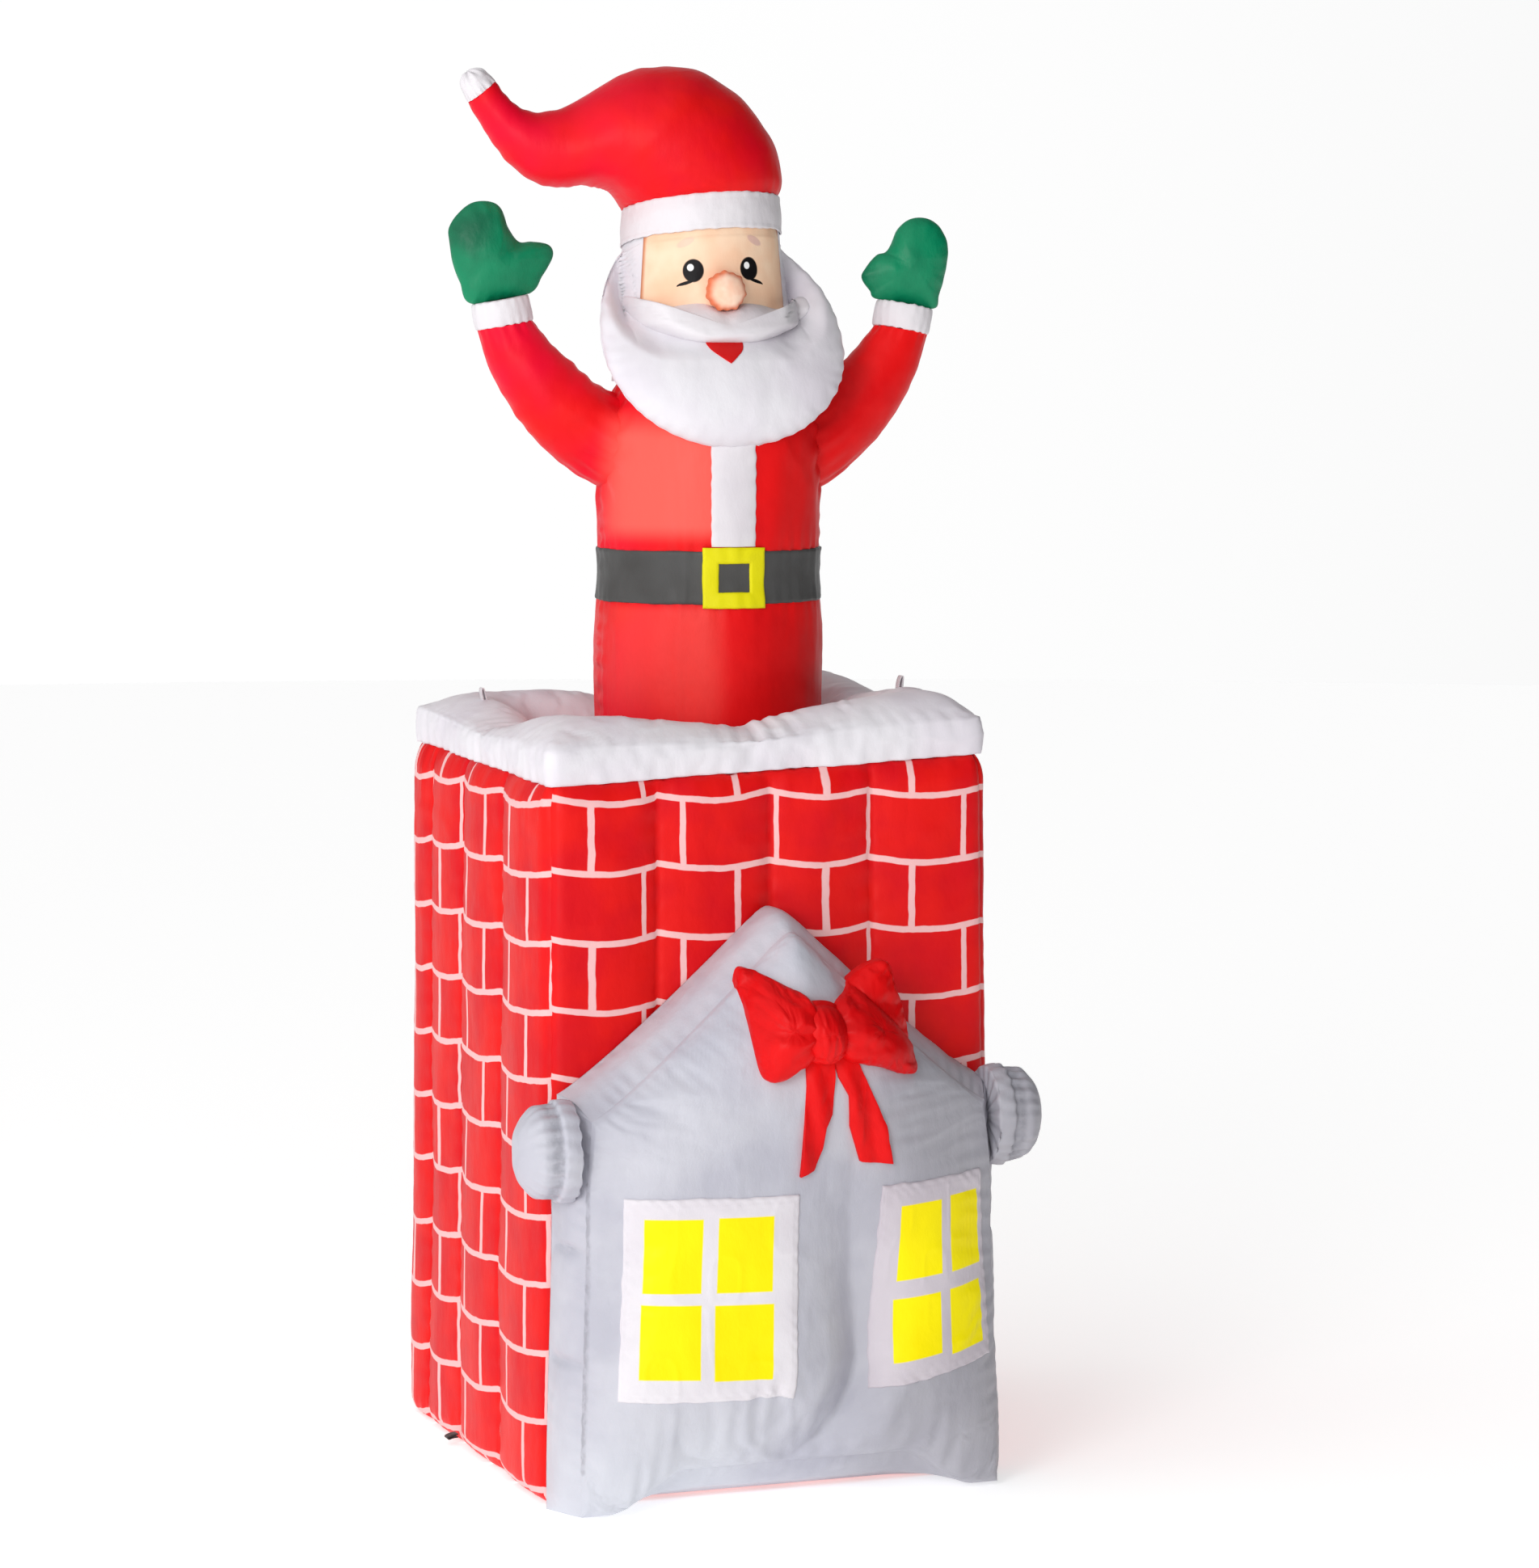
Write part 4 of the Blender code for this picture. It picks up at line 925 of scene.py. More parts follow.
@dataclass
class Chimney:
    """The brick tube: blown columns round an open well."""

    height: float = 0.918
    half_floor: float = 0.300
    half_top: float = 0.288
    corner: float = 0.014
    puff: float = 0.012
    well: float = 0.196
    well_corner: float = 0.04
    floor: float = 0.100
    foot_tuck: float = 0.022
    top_tuck: float = 0.030
    rise: tuple[float, float] = (0.042, 0.022)
    cells: int = 64
    rows: int = 150
    edges: tuple[tuple[float, ...], ...] = (
        (-1.0, -0.52, 0.0, 0.47, 1.0),
        (-1.0, -0.45, 0.05, 0.52, 1.0),
        (-1.0, -0.48, 0.02, 0.50, 1.0),
        (-1.0, -0.69, -0.23, 0.34, 1.0),
    )
    print_start: tuple[float, ...] = (0.236, 0.27, 0.25, 0.321)

    def half(self, z: Array) -> Array:
        """Half the chimney's width at a height, in its valleys."""
        return self.half_floor + (self.half_top - self.half_floor) * z / self.height

    def top(self, x: Array, y: Array) -> Array:
        """The height of the chimney's upper edge, which slopes a little."""
        return self.height + self.rise[0] * x + self.rise[1] * y

    @staticmethod
    def turn(side: int, x: Array, y: Array) -> tuple[Array, Array]:
        """Turns a point of the front side to one of the four sides."""
        for _ in range(side):
            x, y = -y, x
        return x, y

    def column(self, side: int, t: Array) -> tuple[Array, Array, Array]:
        """Where a place lies in its blown column.

        Args:
            side: 0 front, 1 right, 2 back, 3 left.
            t: the place along the side, from -1 to 1.

        Returns:
            The share across the column, its half width and its number.
        """
        edges = np.asarray(self.edges[side])
        number = np.clip(np.searchsorted(edges, t, side="right") - 1, 0, 3)
        low, high = edges[number], edges[number + 1]
        return (t - low) / (high - low), (high - low) / 2, number

    def spread(self, side: int) -> Array:
        """Places along a side, closer together towards each valley."""
        each = self.cells // 4
        share = 0.5 - 0.5 * np.cos(math.pi * np.arange(each) / each)
        edges = self.edges[side]
        pieces = [
            low + (high - low) * (0.35 * np.arange(each) / each + 0.65 * share)
            for low, high in zip(edges, edges[1:])
        ]
        return np.concatenate([*pieces, [1.0]])

    def skin(self, side: int) -> tuple[Array, Array, Array]:
        """One side's outer cloth.

        Args:
            side: 0 front, 1 right, 2 back, 3 left.

        Returns:
            The grid, how far to push each point out, and its print coordinates.
        """
        t = self.spread(side)[None, :]
        foot = np.array([0.0, 0.0004, 0.002, 0.005, 0.009, 0.014])
        share = np.concatenate([
            foot, np.linspace(0.022, 0.968, self.rows), [0.976, 0.984, 0.991, 0.997, 1.0]
        ])[:, None]
        part, width, number = self.column(side, t)
        bulge = np.sin(math.pi * unit(part)) ** 0.62 * (width / 0.25) ** 0.5
        half_top = self.half(np.array(self.height))
        x_top, y_top = self.turn(side, t * half_top, -np.full_like(t, half_top))
        z = share * self.top(x_top, y_top)
        low = unit(1 - share * self.height / self.foot_tuck)
        high = unit((share * self.height - (self.height - self.top_tuck)) / self.top_tuck)
        tuck = 0.014 * (1 - np.sqrt(1 - low**2 * 0.999)) + 0.011 * (1 - np.sqrt(1 - high**2 * 0.999))
        swell = self.puff * bulge * (1 - 0.55 * low) * (1 - 0.45 * high)
        half = self.half(share * self.height)
        over = unit((np.abs(t) * half - (half - self.corner)) / self.corner)
        bend = np.sign(t) * (half - self.corner + self.corner * np.sin(over * math.pi / 4))
        x = np.where(over > 0, bend, t * half)
        inward = self.corner * (1 - np.cos(over * math.pi / 4))
        y = -(half - inward + (swell - tuck) * np.cos(over * math.pi / 4))
        x = x + np.sign(t) * (swell - tuck) * np.sin(over * math.pi / 4)
        gx, gy = self.turn(side, x, y)
        if side == 0:
            arch = 1 - ease((np.abs(gx + 0.009) / self.half_floor - 0.50) / 0.38)
            z = z + 0.017 * arch * unit(1 - z / 0.20) ** 2
        grid = packed(gx, gy, z)
        edges = np.asarray(self.edges[side])
        valley = np.min(np.abs(t[..., None] - edges[None, None, :]), axis=-1) * half
        nearest = np.argmin(np.abs(t[..., None] - edges[None, None, :]), axis=-1) + 10 * side
        below = self.top(gx, gy) - z
        along = t * half + 3.0 * side
        lift = 0.0024 * Noise.folds(grid, (0.10, 0.10, 0.26), 11)
        lift += 0.0016 * Noise.creases(grid, (0.035, 0.035, 0.11), 12) * (0.3 + ease(1 - below / 0.35))
        at_corner = (nearest % 10 == 0) | (nearest % 10 == 4)
        lift += puckers(z + 7.0 * nearest, valley, 0.030, 0.0013, 0.018, 21) * np.where(at_corner, 0.3, 1.0)
        lift += puckers(along, below, 0.021, 0.0026, 0.030, 22)
        lift += puckers(along, z, 0.025, 0.0022, 0.030, 23)
        lift *= ease(share * self.height / 0.012)
        sag = 0.008 * np.sin(math.pi * unit(part)) - 0.003
        step = 0.0025 * np.sin(5.1 * number + 2.3 * side) + (0.006 if side == 3 else 0.0)
        u = t * half + 0.006 * np.sin(2 * math.pi * part) + self.print_start[side]
        v = z + sag + step + 0.002 * Noise.smooth(grid, 0.13, 31)
        return grid, lift, packed(np.broadcast_to(u, z.shape), v)

    @staticmethod
    def plain(grid: Array) -> Array:
        """Print coordinates inside one brick, for cloth with no joints on it."""
        return np.full((*grid.shape[:2], 2), 0.04)

    def square(self, half: float, corner: float, z: Union[float, Array]) -> Array:
        """A closed square row with round corners, its first point again at the end."""
        rows = []
        for side in range(4):
            t = np.linspace(-1, 1, self.cells + 1)[:-1]
            over = unit((np.abs(t) * half - (half - corner)) / corner)
            bend = np.sign(t) * (half - corner + corner * np.sin(over * math.pi / 4))
            x = np.where(over > 0, bend, t * half)
            y = -(half - corner + corner * np.cos(over * math.pi / 4))
            rows.append(np.stack(self.turn(side, x, y), axis=-1))
        row = np.concatenate(rows)
        row = np.concatenate([row, row[:1]])
        return np.concatenate([row, np.broadcast_to(z, (len(row), 1))], axis=-1)

    def build(self) -> None:
        """Makes the four outer sides and the well, as one piece."""
        shell = Shell("chimney_cloth")
        rims, feet = [], []
        for side in range(4):
            grid, lift, printed = self.skin(side)
            facing = (*self.turn(side, 0.0, -1.0), 0.0)
            shell.add(grid, lift=lift, printed=printed, facing=facing)
            done = shell.points[-1].reshape(grid.shape)
            rims.append(done[-1, :-1])
            feet.append(done[0, :-1])
        rim, foot = (np.concatenate([row := np.concatenate(rows), row[:1]]) for rows in (rims, feet))
        well_top = self.square(self.well, self.well_corner, 0.0)
        well_top[:, 2] = self.top(well_top[:, 0], well_top[:, 1])
        seat = np.stack([rim + (well_top - rim) * share for share in (0.0, 0.25, 0.6, 1.0)])
        shell.add(seat, printed=self.plain(seat))
        well_foot = self.square(self.well, self.well_corner, self.floor)
        wall = np.stack([well_top + (well_foot - well_top) * share for share in np.linspace(0, 1, 60)])
        wall[:, :, :2] *= 1 + 0.012 * Noise.folds(wall, (0.12, 0.12, 0.3), 41)[..., None]
        wall[:, -1] = wall[:, 0]
        shell.add(wall, printed=self.plain(wall))
        for ring in (wall[-1], foot):
            disc = lid(ring, 0.6, 0.2, 0.0)
            shell.add(disc, printed=self.plain(disc))
        shell.build(BRICK, "chimney")


@dataclass
class SnowRim:
    """The puffed white ring on the chimney, with its webbing loops."""

    chimney: Chimney
    wall: float = 0.047
    crest: float = 0.080
    pinch: float = 0.027
    back_drop: float = 0.040
    outset: float = 0.003
    inner: float = 0.186
    cells: int = 84

    def ring(self, half: float, corner: float) -> Array:
        """A square row of (x, y) points with round corners."""
        return Chimney(cells=self.cells).square(half, corner, 0.0)[:-1, :2]

    def build(self) -> None:
        """Makes the ring and both webbing loops."""
        chimney = self.chimney
        outer = self.ring(chimney.half_top + self.outset, 0.016)
        inner = self.ring(self.inner, 0.050)
        t = (np.arange(len(outer)) % self.cells) / self.cells
        side = np.arange(len(outer)) // self.cells
        spot = np.where(side == 0, 0.455, 0.5)
        pinch = hump(t - spot, 0.20, 1.6)
        tight = hump(t - spot, 0.018)
        low = chimney.top(outer[:, 0], outer[:, 1]) + 0.0005
        seam = low + self.wall - 0.3 * self.pinch * pinch
        crest = low + self.crest - self.pinch * pinch - self.back_drop * (inner[:, 1] + chimney.well)
        crest -= 0.004 * tight
        rows, kinds = [], []
        for w in np.linspace(0, 1, 14):
            out = 1.0 + (0.022 - 0.026 * tight) * math.sin(math.pi * w) ** 0.7
            rows.append((out, low + (seam - low) * w))
            kinds.append((1 - w) * self.wall)
        for s in np.linspace(0, 1, 32)[1:]:
            if s < 0.55:
                z = seam + (crest - seam) * math.sin(0.5 * math.pi * s / 0.55) ** 1.05
            else:
                fall = ((s - 0.55) / 0.45) ** 2.2
                z = crest + (seam - 0.022 - crest) * fall
            rows.append((np.full_like(low, 1 - s), z))
            kinds.append(-s * 0.10)
        base = rows[-1][1]
        for w in np.linspace(0, 1, 8)[1:]:
            rows.append((np.full_like(low, -0.03 * math.sin(math.pi * w)), base + (low + 0.001 - base) * w))
            kinds.append(-0.2)
        grid = []
        for share, z in rows:
            share = share * np.ones_like(low)
            flat = inner + (outer - inner) * share[:, None]
            grid.append(np.concatenate([flat, z[:, None]], axis=1))
        grid = np.stack(grid)
        grid = np.concatenate([grid, grid[:, :1]], axis=1)
        side_run = np.arange(grid.shape[1]) * (2 * chimney.half_top / self.cells)
        along = np.broadcast_to(side_run, grid.shape[:2])
        from_seam = np.array(kinds)[:, None] * np.ones_like(along)
        away = np.abs(from_seam)
        middle = ((np.arange(grid.shape[1]) % self.cells) / self.cells - 0.5) * 2 * chimney.half_top
        lift = 0.0026 * Noise.folds(grid, 0.10, 51) + 0.0014 * Noise.creases(grid, (0.05, 0.05, 0.03), 52)
        lift += puckers(along, away, 0.026, 0.0013, 0.012, 53) - 0.0020 * hump(away, 0.0030)
        above = grid[..., 2] - chimney.top(grid[..., 0], grid[..., 1])
        lift += puckers(along, above, 0.029, 0.0015, 0.014, 54)
        near = hump(middle, 0.055) * (from_seam <= 0)
        lift += 0.0020 * near * np.cos(middle * 2 * math.pi / 0.026) * ease((0.11 + from_seam) / 0.05)
        shell = Shell("snow_rim_cloth")
        shell.add(grid, wrap=True, lift=lift * ease(away / 0.004 + 0.35))
        done = shell.points[-1].reshape(grid.shape)
        shell.add(np.stack([done[-1], done[0]]))
        rim = shell.build(SNOW, "snow_rim")
        points = points_of(rim.data)
        over = points[:, 2] - chimney.top(points[:, 0], points[:, 1])
        edge = np.max(np.abs(points[:, :2]), axis=1) - chimney.half_top - self.outset
        held = (over < 0.006) | ((np.abs(over - self.wall) < 0.003) & (edge > -0.003))
        Blower().blow(rim, held, 0.005, 0.0030)
        self.loops(outer, crest)

    def loops(self, ring: Array, crest: Array) -> None:
        """Makes the folded webbing loops on the crest.

        Args:
            ring: the rim's outer (x, y) points.
            crest: the crest's height round the rim.
        """
        for name, side, y0 in (("tether_left", -1, 0.150), ("tether_right", 1, -0.125)):
            x0 = side * 0.5 * (self.chimney.half_top + self.outset + self.inner)
            away = np.hypot(ring[:, 0] - side * self.chimney.half_top, ring[:, 1] - y0)
            z0 = float(crest[int(np.argmin(away))]) - 0.002
            tall, wide = 0.021, 0.0115
            bend = [
                (0.0, 0.0), (-0.0008, 0.5), (0.0004, 0.9), (0.0022, 1.0), (0.0036, 0.9), (0.0042, 0.5),
                (0.0048, 0.0)
            ]
            path = through(bend, 25)
            lean = 0.004 * side
            grid = []
            for y in np.linspace(-wide / 2, wide / 2, 7):
                x = x0 + path[:, 0] + lean * path[:, 1]
                grid.append(packed(x, y0 + y + 0.002 * path[:, 1], z0 + tall * path[:, 1]))
            webbing(name, grid, WHITE_TAPE)


def webbing(name: str, strips: Sequence[Array], finish: Webbing) -> None:
    """Makes a strip of tape, with its thickness applied.

    Args:
        name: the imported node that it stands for.
        strips: rows of points along the tape, from one edge to the other.
        finish: what it is made of.
    """
    obj = Shell(name + "_webbing").add(np.stack(strips)).build(finish, name)
    solid = obj.modifiers.new("thickness", "SOLIDIFY")
    solid.thickness = TAPE_THICKNESS
    solid.offset = 0.0
    graph = bpy.context.evaluated_depsgraph_get()
    mesh = bpy.data.meshes.new_from_object(obj.evaluated_get(graph))
    obj.modifiers.clear()
    old = obj.data
    obj.data = mesh
    bpy.data.meshes.remove(old)


@dataclass
class TieTabs:
    """Black tape tabs at the chimney's foot."""

    chimney: Chimney
    reach: float = 0.014
    width: float = 0.016

    def build(self) -> None:
        """Makes a folded tab on each side."""
        for name, side in (("tie_tab_left", -1), ("tie_tab_right", 1)):
            start = self.chimney.half_floor + 0.006
            bend = [
                (0.0, 0.0), (0.5, -0.001), (0.9, -0.003), (1.0, -0.0045), (0.9, -0.006),
                (0.5, -0.0045), (0.0, -0.004)
            ]
            profile = through(bend, 21)
            grid = []
            for y in np.linspace(-0.5, 0.5, 6):
                x = side * (start + profile[:, 0] * self.reach)
                grid.append(packed(x, np.full_like(x, 0.070 + y * self.width), 0.0145 + profile[:, 1]))
            webbing(name, grid, BLACK_TAPE)


@dataclass
class Torso:
    """The red body with its belt, buckle and placket."""

    radius: float = 0.1465
    shoulder: float = 1.300
    top: float = 1.395
    neck: float = 0.112
    floor: float = 0.101
    belt_low: float = 1.112
    belt_high: float = 1.180
    buckle_width: float = 0.082
    buckle_low: float = 1.107
    buckle_high: float = 1.185
    buckle_border: float = 0.0205
    placket_half: float = 0.0298

    def outline(self, z: Array) -> Array:
        """The body's radius at a height, narrower under the belt."""
        t = unit((z - self.shoulder) / (self.top - self.shoulder))
        radius = self.radius + (self.neck - self.radius) * t**2.6
        waist = hump(z - 1.146, 0.040)
        return radius - 0.0035 * waist + 0.002 * hump(z - 1.04, 0.06)

    def wrinkles(self, grid: Array, angle: Array) -> Array:
        """How far the body's cloth stands out from its plain outline."""
        z = grid[..., 2]
        lift = 0.0026 * Noise.folds(grid, (0.07, 0.07, 0.42), 61)
        lift += 0.0016 * Noise.creases(grid, (0.045, 0.045, 0.20), 62)
        for seam, start in ((math.radians(88), 0.0), (math.radians(-88), 3.0), (math.pi, 6.0)):
            gap = np.abs(signed(angle, seam)) * self.radius
            lift += puckers(z + start, gap, 0.024, 0.0024, 0.020, 63)
        run = angle * self.radius
        for level, seed in ((self.belt_low, 64), (self.belt_high, 65)):
            lift += puckers(run, z - level, 0.021, 0.0014, 0.022, seed)
        for side in (-1, 1):
            dx = np.abs(signed(angle, side * math.pi / 2)) * self.radius
            reach = np.sqrt(dx**2 + (z - 1.315) ** 2)
            turn = np.arctan2(z - 1.315, dx + 1e-6)
            lift += 0.0022 * hump(reach - 0.070, 0.022) * np.cos(turn * 13 + 2 * side)
        return lift

    def build(self) -> None:
        """Makes the body and what is sewn on its front."""
        rows = np.concatenate([
            np.linspace(self.floor, 0.86, 24), np.linspace(0.87, 1.30, 110),
            np.linspace(1.303, self.top, 30)
        ])[:, None]
        angle = full_turn(151, math.pi)
        grid = about(self.outline(rows), angle, rows)
        shell = Shell("torso_cloth", Carrier.FIGURE)
        shell.add(grid, wrap=True, lift=self.wrinkles(grid, angle * np.ones_like(rows)))
        for ring in (grid[-1], grid[0]):
            shell.add(np.stack([ring, ring * (0.5, 0.5, 1.0), ring * (0.0, 0.0, 1.0)]))
        shell.build(SUIT, "torso")
        self.belt()
        self.buckle()
        self.placket()

    def on(self, across: Array, z: Array, proud: Union[float, Array]) -> Array:
        """A place on the body's front, across and up, standing proud of its wrinkles."""
        across, z, proud = np.broadcast_arrays(across, z, proud)
        angle = across / self.radius
        plain = self.outline(z)
        first = about(plain, angle, z)
        return about(plain + self.wrinkles(first, angle) + proud, angle, z)

    def belt(self) -> None:
        """Makes the belt, a flat band with turned edges."""
        share = np.array([0, 0, 0.02, 0.06, 0.1, 0.2, 0.35, 0.5, 0.65, 0.8, 0.9, 0.94, 0.98, 1.0, 1.0])
        hem = [-0.002, 0.0012, 0.0024, 0.0028]
        proud = np.array([*hem, *[0.0026] * 7, *reversed(hem)])
        z = self.belt_low + (self.belt_high - self.belt_low) * share
        angle = np.linspace(0, 2 * math.pi, 151) + math.pi
        across = signed(angle) * self.radius
        across[-1] = across[0]
        grid = self.on(across[None, :], z[:, None], proud[:, None])
        lift = 0.0008 * Noise.folds(grid, (0.03, 0.03, 0.05), 71)
        Shell("belt_cloth", Carrier.FIGURE).add(grid, wrap=True, lift=lift).build(BELT, "belt")

    def buckle(self) -> None:
        """Makes the buckle, a flat square frame of doubled cloth."""
        half, mid = self.buckle_width / 2, (self.buckle_low + self.buckle_high) / 2
        tall = (self.buckle_high - self.buckle_low) / 2
        share = np.linspace(-1, 1, 15)[:-1]
        one = np.ones_like(share)
        loop = np.concatenate([
            np.stack(pair, axis=-1)
            for pair in ((share, -one), (one, share), (-share, one), (-one, -share))
        ])
        loop = np.concatenate([loop, loop[:1]])
        rows = []
        for inset, proud in (
            (0.0, 0.0015), (0.0, 0.0038), (0.0008, 0.0050), (0.004, 0.0054), (0.5, 0.0056),
            (-0.004, 0.0054), (-0.0008, 0.0050), (-0.0, 0.0038), (-0.0, 0.0015)
        ):
            border = self.buckle_border
            deep = border * 0.5 if inset == 0.5 else (border + inset if len(rows) > 4 else inset)
            x = loop[:, 0] * (half - deep)
            z = mid + loop[:, 1] * (tall - deep)
            rows.append(self.on(x, z, proud))
        grid = np.stack(rows)
        shell = Shell("buckle_cloth", Carrier.FIGURE)
        shell.add(grid, lift=0.0006 * Noise.folds(grid, 0.02, 72), facing=FORWARD)
        shell.build(BUCKLE, "buckle")

    def placket(self) -> None:
        """Makes the white strip from the buckle up to the beard."""
        half = np.array([1, 1, 0.97, 0.9, 0.75, 0.5, 0.25, 0])
        proud = np.array([-0.001, 0.0008, 0.0016, 0.0022, 0.0026, 0.003, 0.0032, 0.0032])
        across = np.concatenate([-half, half[-2::-1]]) * self.placket_half
        proud = np.concatenate([proud, proud[-2::-1]])
        z = np.linspace(self.buckle_high + 0.0008, 1.335, 60)
        grid = self.on(across[None, :] * np.ones_like(z)[:, None], z[:, None], proud[None, :])
        edge = self.placket_half - np.abs(across)[None, :]
        lift = puckers(z[:, None] + np.sign(across)[None, :], edge, 0.019, 0.0008, 0.010, 73)
        lift = lift + 0.0008 * Noise.folds(grid, (0.03, 0.03, 0.06), 74)
        Shell("placket_cloth", Carrier.FIGURE).add(grid, lift=lift, facing=FORWARD).build(TRIM, "placket")


def head_radius(z: Array) -> Array:
    """The head tube's radius at a height: a little wider towards the neck."""
    return 0.1018 + 0.080 * (1.580 - z)


def band_rise(angle: Array) -> Array:
    """The hat band's tilt: higher in front and a little higher on the right."""
    return 0.015 * np.cos(angle) + 0.005 * np.sin(angle)


def edge_distance(x: Array, z: Array, corners: Knots) -> Array:
    """The signed distance to a closed outline: positive outside it, negative inside."""
    best = np.full(np.shape(x), 1e9)
    inside = np.zeros(np.shape(x), bool)
    for (ax, az), (bx, bz) in zip(corners, [*corners[1:], corners[0]]):
        run = np.array((bx - ax, bz - az))
        share = unit(((x - ax) * run[0] + (z - az) * run[1]) / (run @ run))
        best = np.minimum(best, np.hypot(x - ax - share * run[0], z - az - share * run[1]))
        crossing = (az > z) != (bz > z)
        inside ^= crossing & (x < (bx - ax) * (z - az) / (bz - az + 1e-12) + ax)
    return np.where(inside, -best, best)


@dataclass
class Head:
    """The white head tube, its face panel, beard, moustache, mouth and nose."""

    neck: float = 1.3955
    band_low: float = 1.577
    band_height: float = 0.046
    face_half: float = math.radians(61)
    girth: float = 0.105
    face_low: float = 1.462
    middle: float = 1.445
    down: float = 0.133
    up: float = 0.160
    beard_half: float = 0.160
    beard_deep: float = 0.050
    beard_shift: float = 0.005
    beard_top: float = 1.568
    leans: tuple[float, float, float] = (-0.012, 0.088, 0.143)
    opening: tuple[tuple[float, float], ...] = (
        (0.078, 1.474),
        (0.095, 1.487),
        (0.1005, 1.510),
        (0.1030, 1.550),
        (0.1030, 1.640),
    )
    lip: float = 0.052

    def build(self) -> None:
        """Makes every piece of the head below the hat."""
        self.tube()
        self.face()
        self.beard()
        self.moustache()
        self.mouth()
        self.nose()

    def tube(self) -> None:
        """Makes the white tube, closed at its top inside the hat."""
        share = np.linspace(0, 1, 70)[:, None]
        angle = full_turn(141, math.pi)
        top = self.band_low + self.band_height - 0.002 + band_rise(angle)
        z = self.neck + (top - self.neck) * share
        grid = about(head_radius(z), angle, z)
        turn = signed(angle)
        seam = (np.abs(turn) - self.face_half) * self.girth
        lift = 0.0014 * Noise.folds(grid, (0.05, 0.05, 0.10), 81)
        lift += puckers(z + np.sign(turn), seam, 0.018, 0.0010, 0.012, 82)
        lift = np.where(np.abs(turn) < self.face_half + 0.02, np.minimum(lift, 0.0) - 0.0005, lift)
        shell = Shell("head_cloth", Carrier.HEAD)
        shell.add(grid, wrap=True, lift=lift)
        for ring in (grid[-1], grid[0]):
            shell.add(lid(ring, 0.5, 0.0))
        shell.build(SNOW, "head")

    def face(self) -> None:
        """Makes the face panel, a little crowned between its two seams."""
        u = np.concatenate([[-1.0], np.linspace(-1, 1, 101), [1.0]])[None, :]
        v = np.linspace(0, 1, 81)[:, None]
        angle = u * self.face_half
        top = self.band_low + band_rise(angle) + 0.004
        z = self.face_low + (top - self.face_low) * v
        crown = np.sqrt(unit(1 - np.abs(u) ** 6))
        proud = 0.0008 + 0.0022 * crown + 0.0 * v
        proud[:, 0] = proud[:, -1] = -0.001
        proud = np.where(z > top - 0.014, np.minimum(proud, 0.0004 + 0.18 * unit(top - 0.004 - z)), proud)
        grid = about(head_radius(z) + proud, angle, z)
        lift = 0.0006 * Noise.folds(grid, 0.05, 83) * crown
        away = (1 - np.abs(u)) * self.face_half * self.girth
        lift += puckers(z + np.sign(u), away, 0.017, 0.0007, 0.010, 84) * crown
        printed = packed(u * SKIN.half, z)
        shell = Shell("face_cloth", Carrier.HEAD)
        shell.add(grid, lift=lift, facing=FORWARD, printed=printed).build(SKIN, "face")

    def section(self, z: Array) -> tuple[Array, Array, Array]:
        """The beard's half width, half depth and forward place at a height."""
        over = z > self.middle
        t = np.clip((z - self.middle) / np.where(over, self.up, self.down), -1, 1)
        width = self.beard_half * np.sqrt(1 - t * t)
        depth = self.beard_deep * np.sqrt(1 - np.abs(t) ** 2.6)
        high, mid, low = self.leans
        s = np.clip((z - self.middle) / (self.beard_top - self.middle), 0, 1.3)
        d = unit((self.middle - z) / self.down)
        above = mid + (high - mid) * (0.65 * s + 0.35 * s * s)
        forward = np.where(over, above, mid + (low - mid) * (1.5 * d - 0.5 * d * d))
        return width, depth, forward

    def from_opening(self, x: Array, z: Array) -> Array:
        """The distance from the opening in the beard that shows the face."""
        mirrored = ((-a, b) for a, b in reversed(self.opening))
        return edge_distance(x, z, [*self.opening, *mirrored])

    def tube_front(self, x: Array, z: Array) -> Array:
        """How far forward the face panel stands."""
        radius = head_radius(z) + 0.002
        return np.sqrt(np.clip(radius**2 - x**2, 0, None))

    def front(self, x: Array, z: Array) -> Array:
        """How far forward the beard, or the face panel above it, stands."""
        width, depth, forward = self.section(z)
        across = unit(np.abs(x - self.beard_shift) / np.maximum(width, 1e-6))
        beard = forward + depth * np.sqrt(1 - across * across)
        away = self.from_opening(x, z)
        tube = self.tube_front(x, z)
        share = ease(away / self.lip) ** 0.75
        rise = np.where(away > 0, np.maximum(beard - tube, 0.0) * share, -0.004)
        return np.where((away > 0) & (beard < tube) & (np.abs(x) > 0.06), beard, tube + rise)

    def rim_of_beard(self, angle: Array) -> tuple[Array, Array]:
        """The beard's outer edge, as (x, z), for angles from straight up."""
        side, rise = np.sin(angle), np.cos(angle)
        reach = np.where(rise > 0, self.up, self.down)
        x, z = self.beard_half * side, self.middle + reach * rise
        return x + self.beard_shift, np.minimum(z, self.beard_top + 0.004)

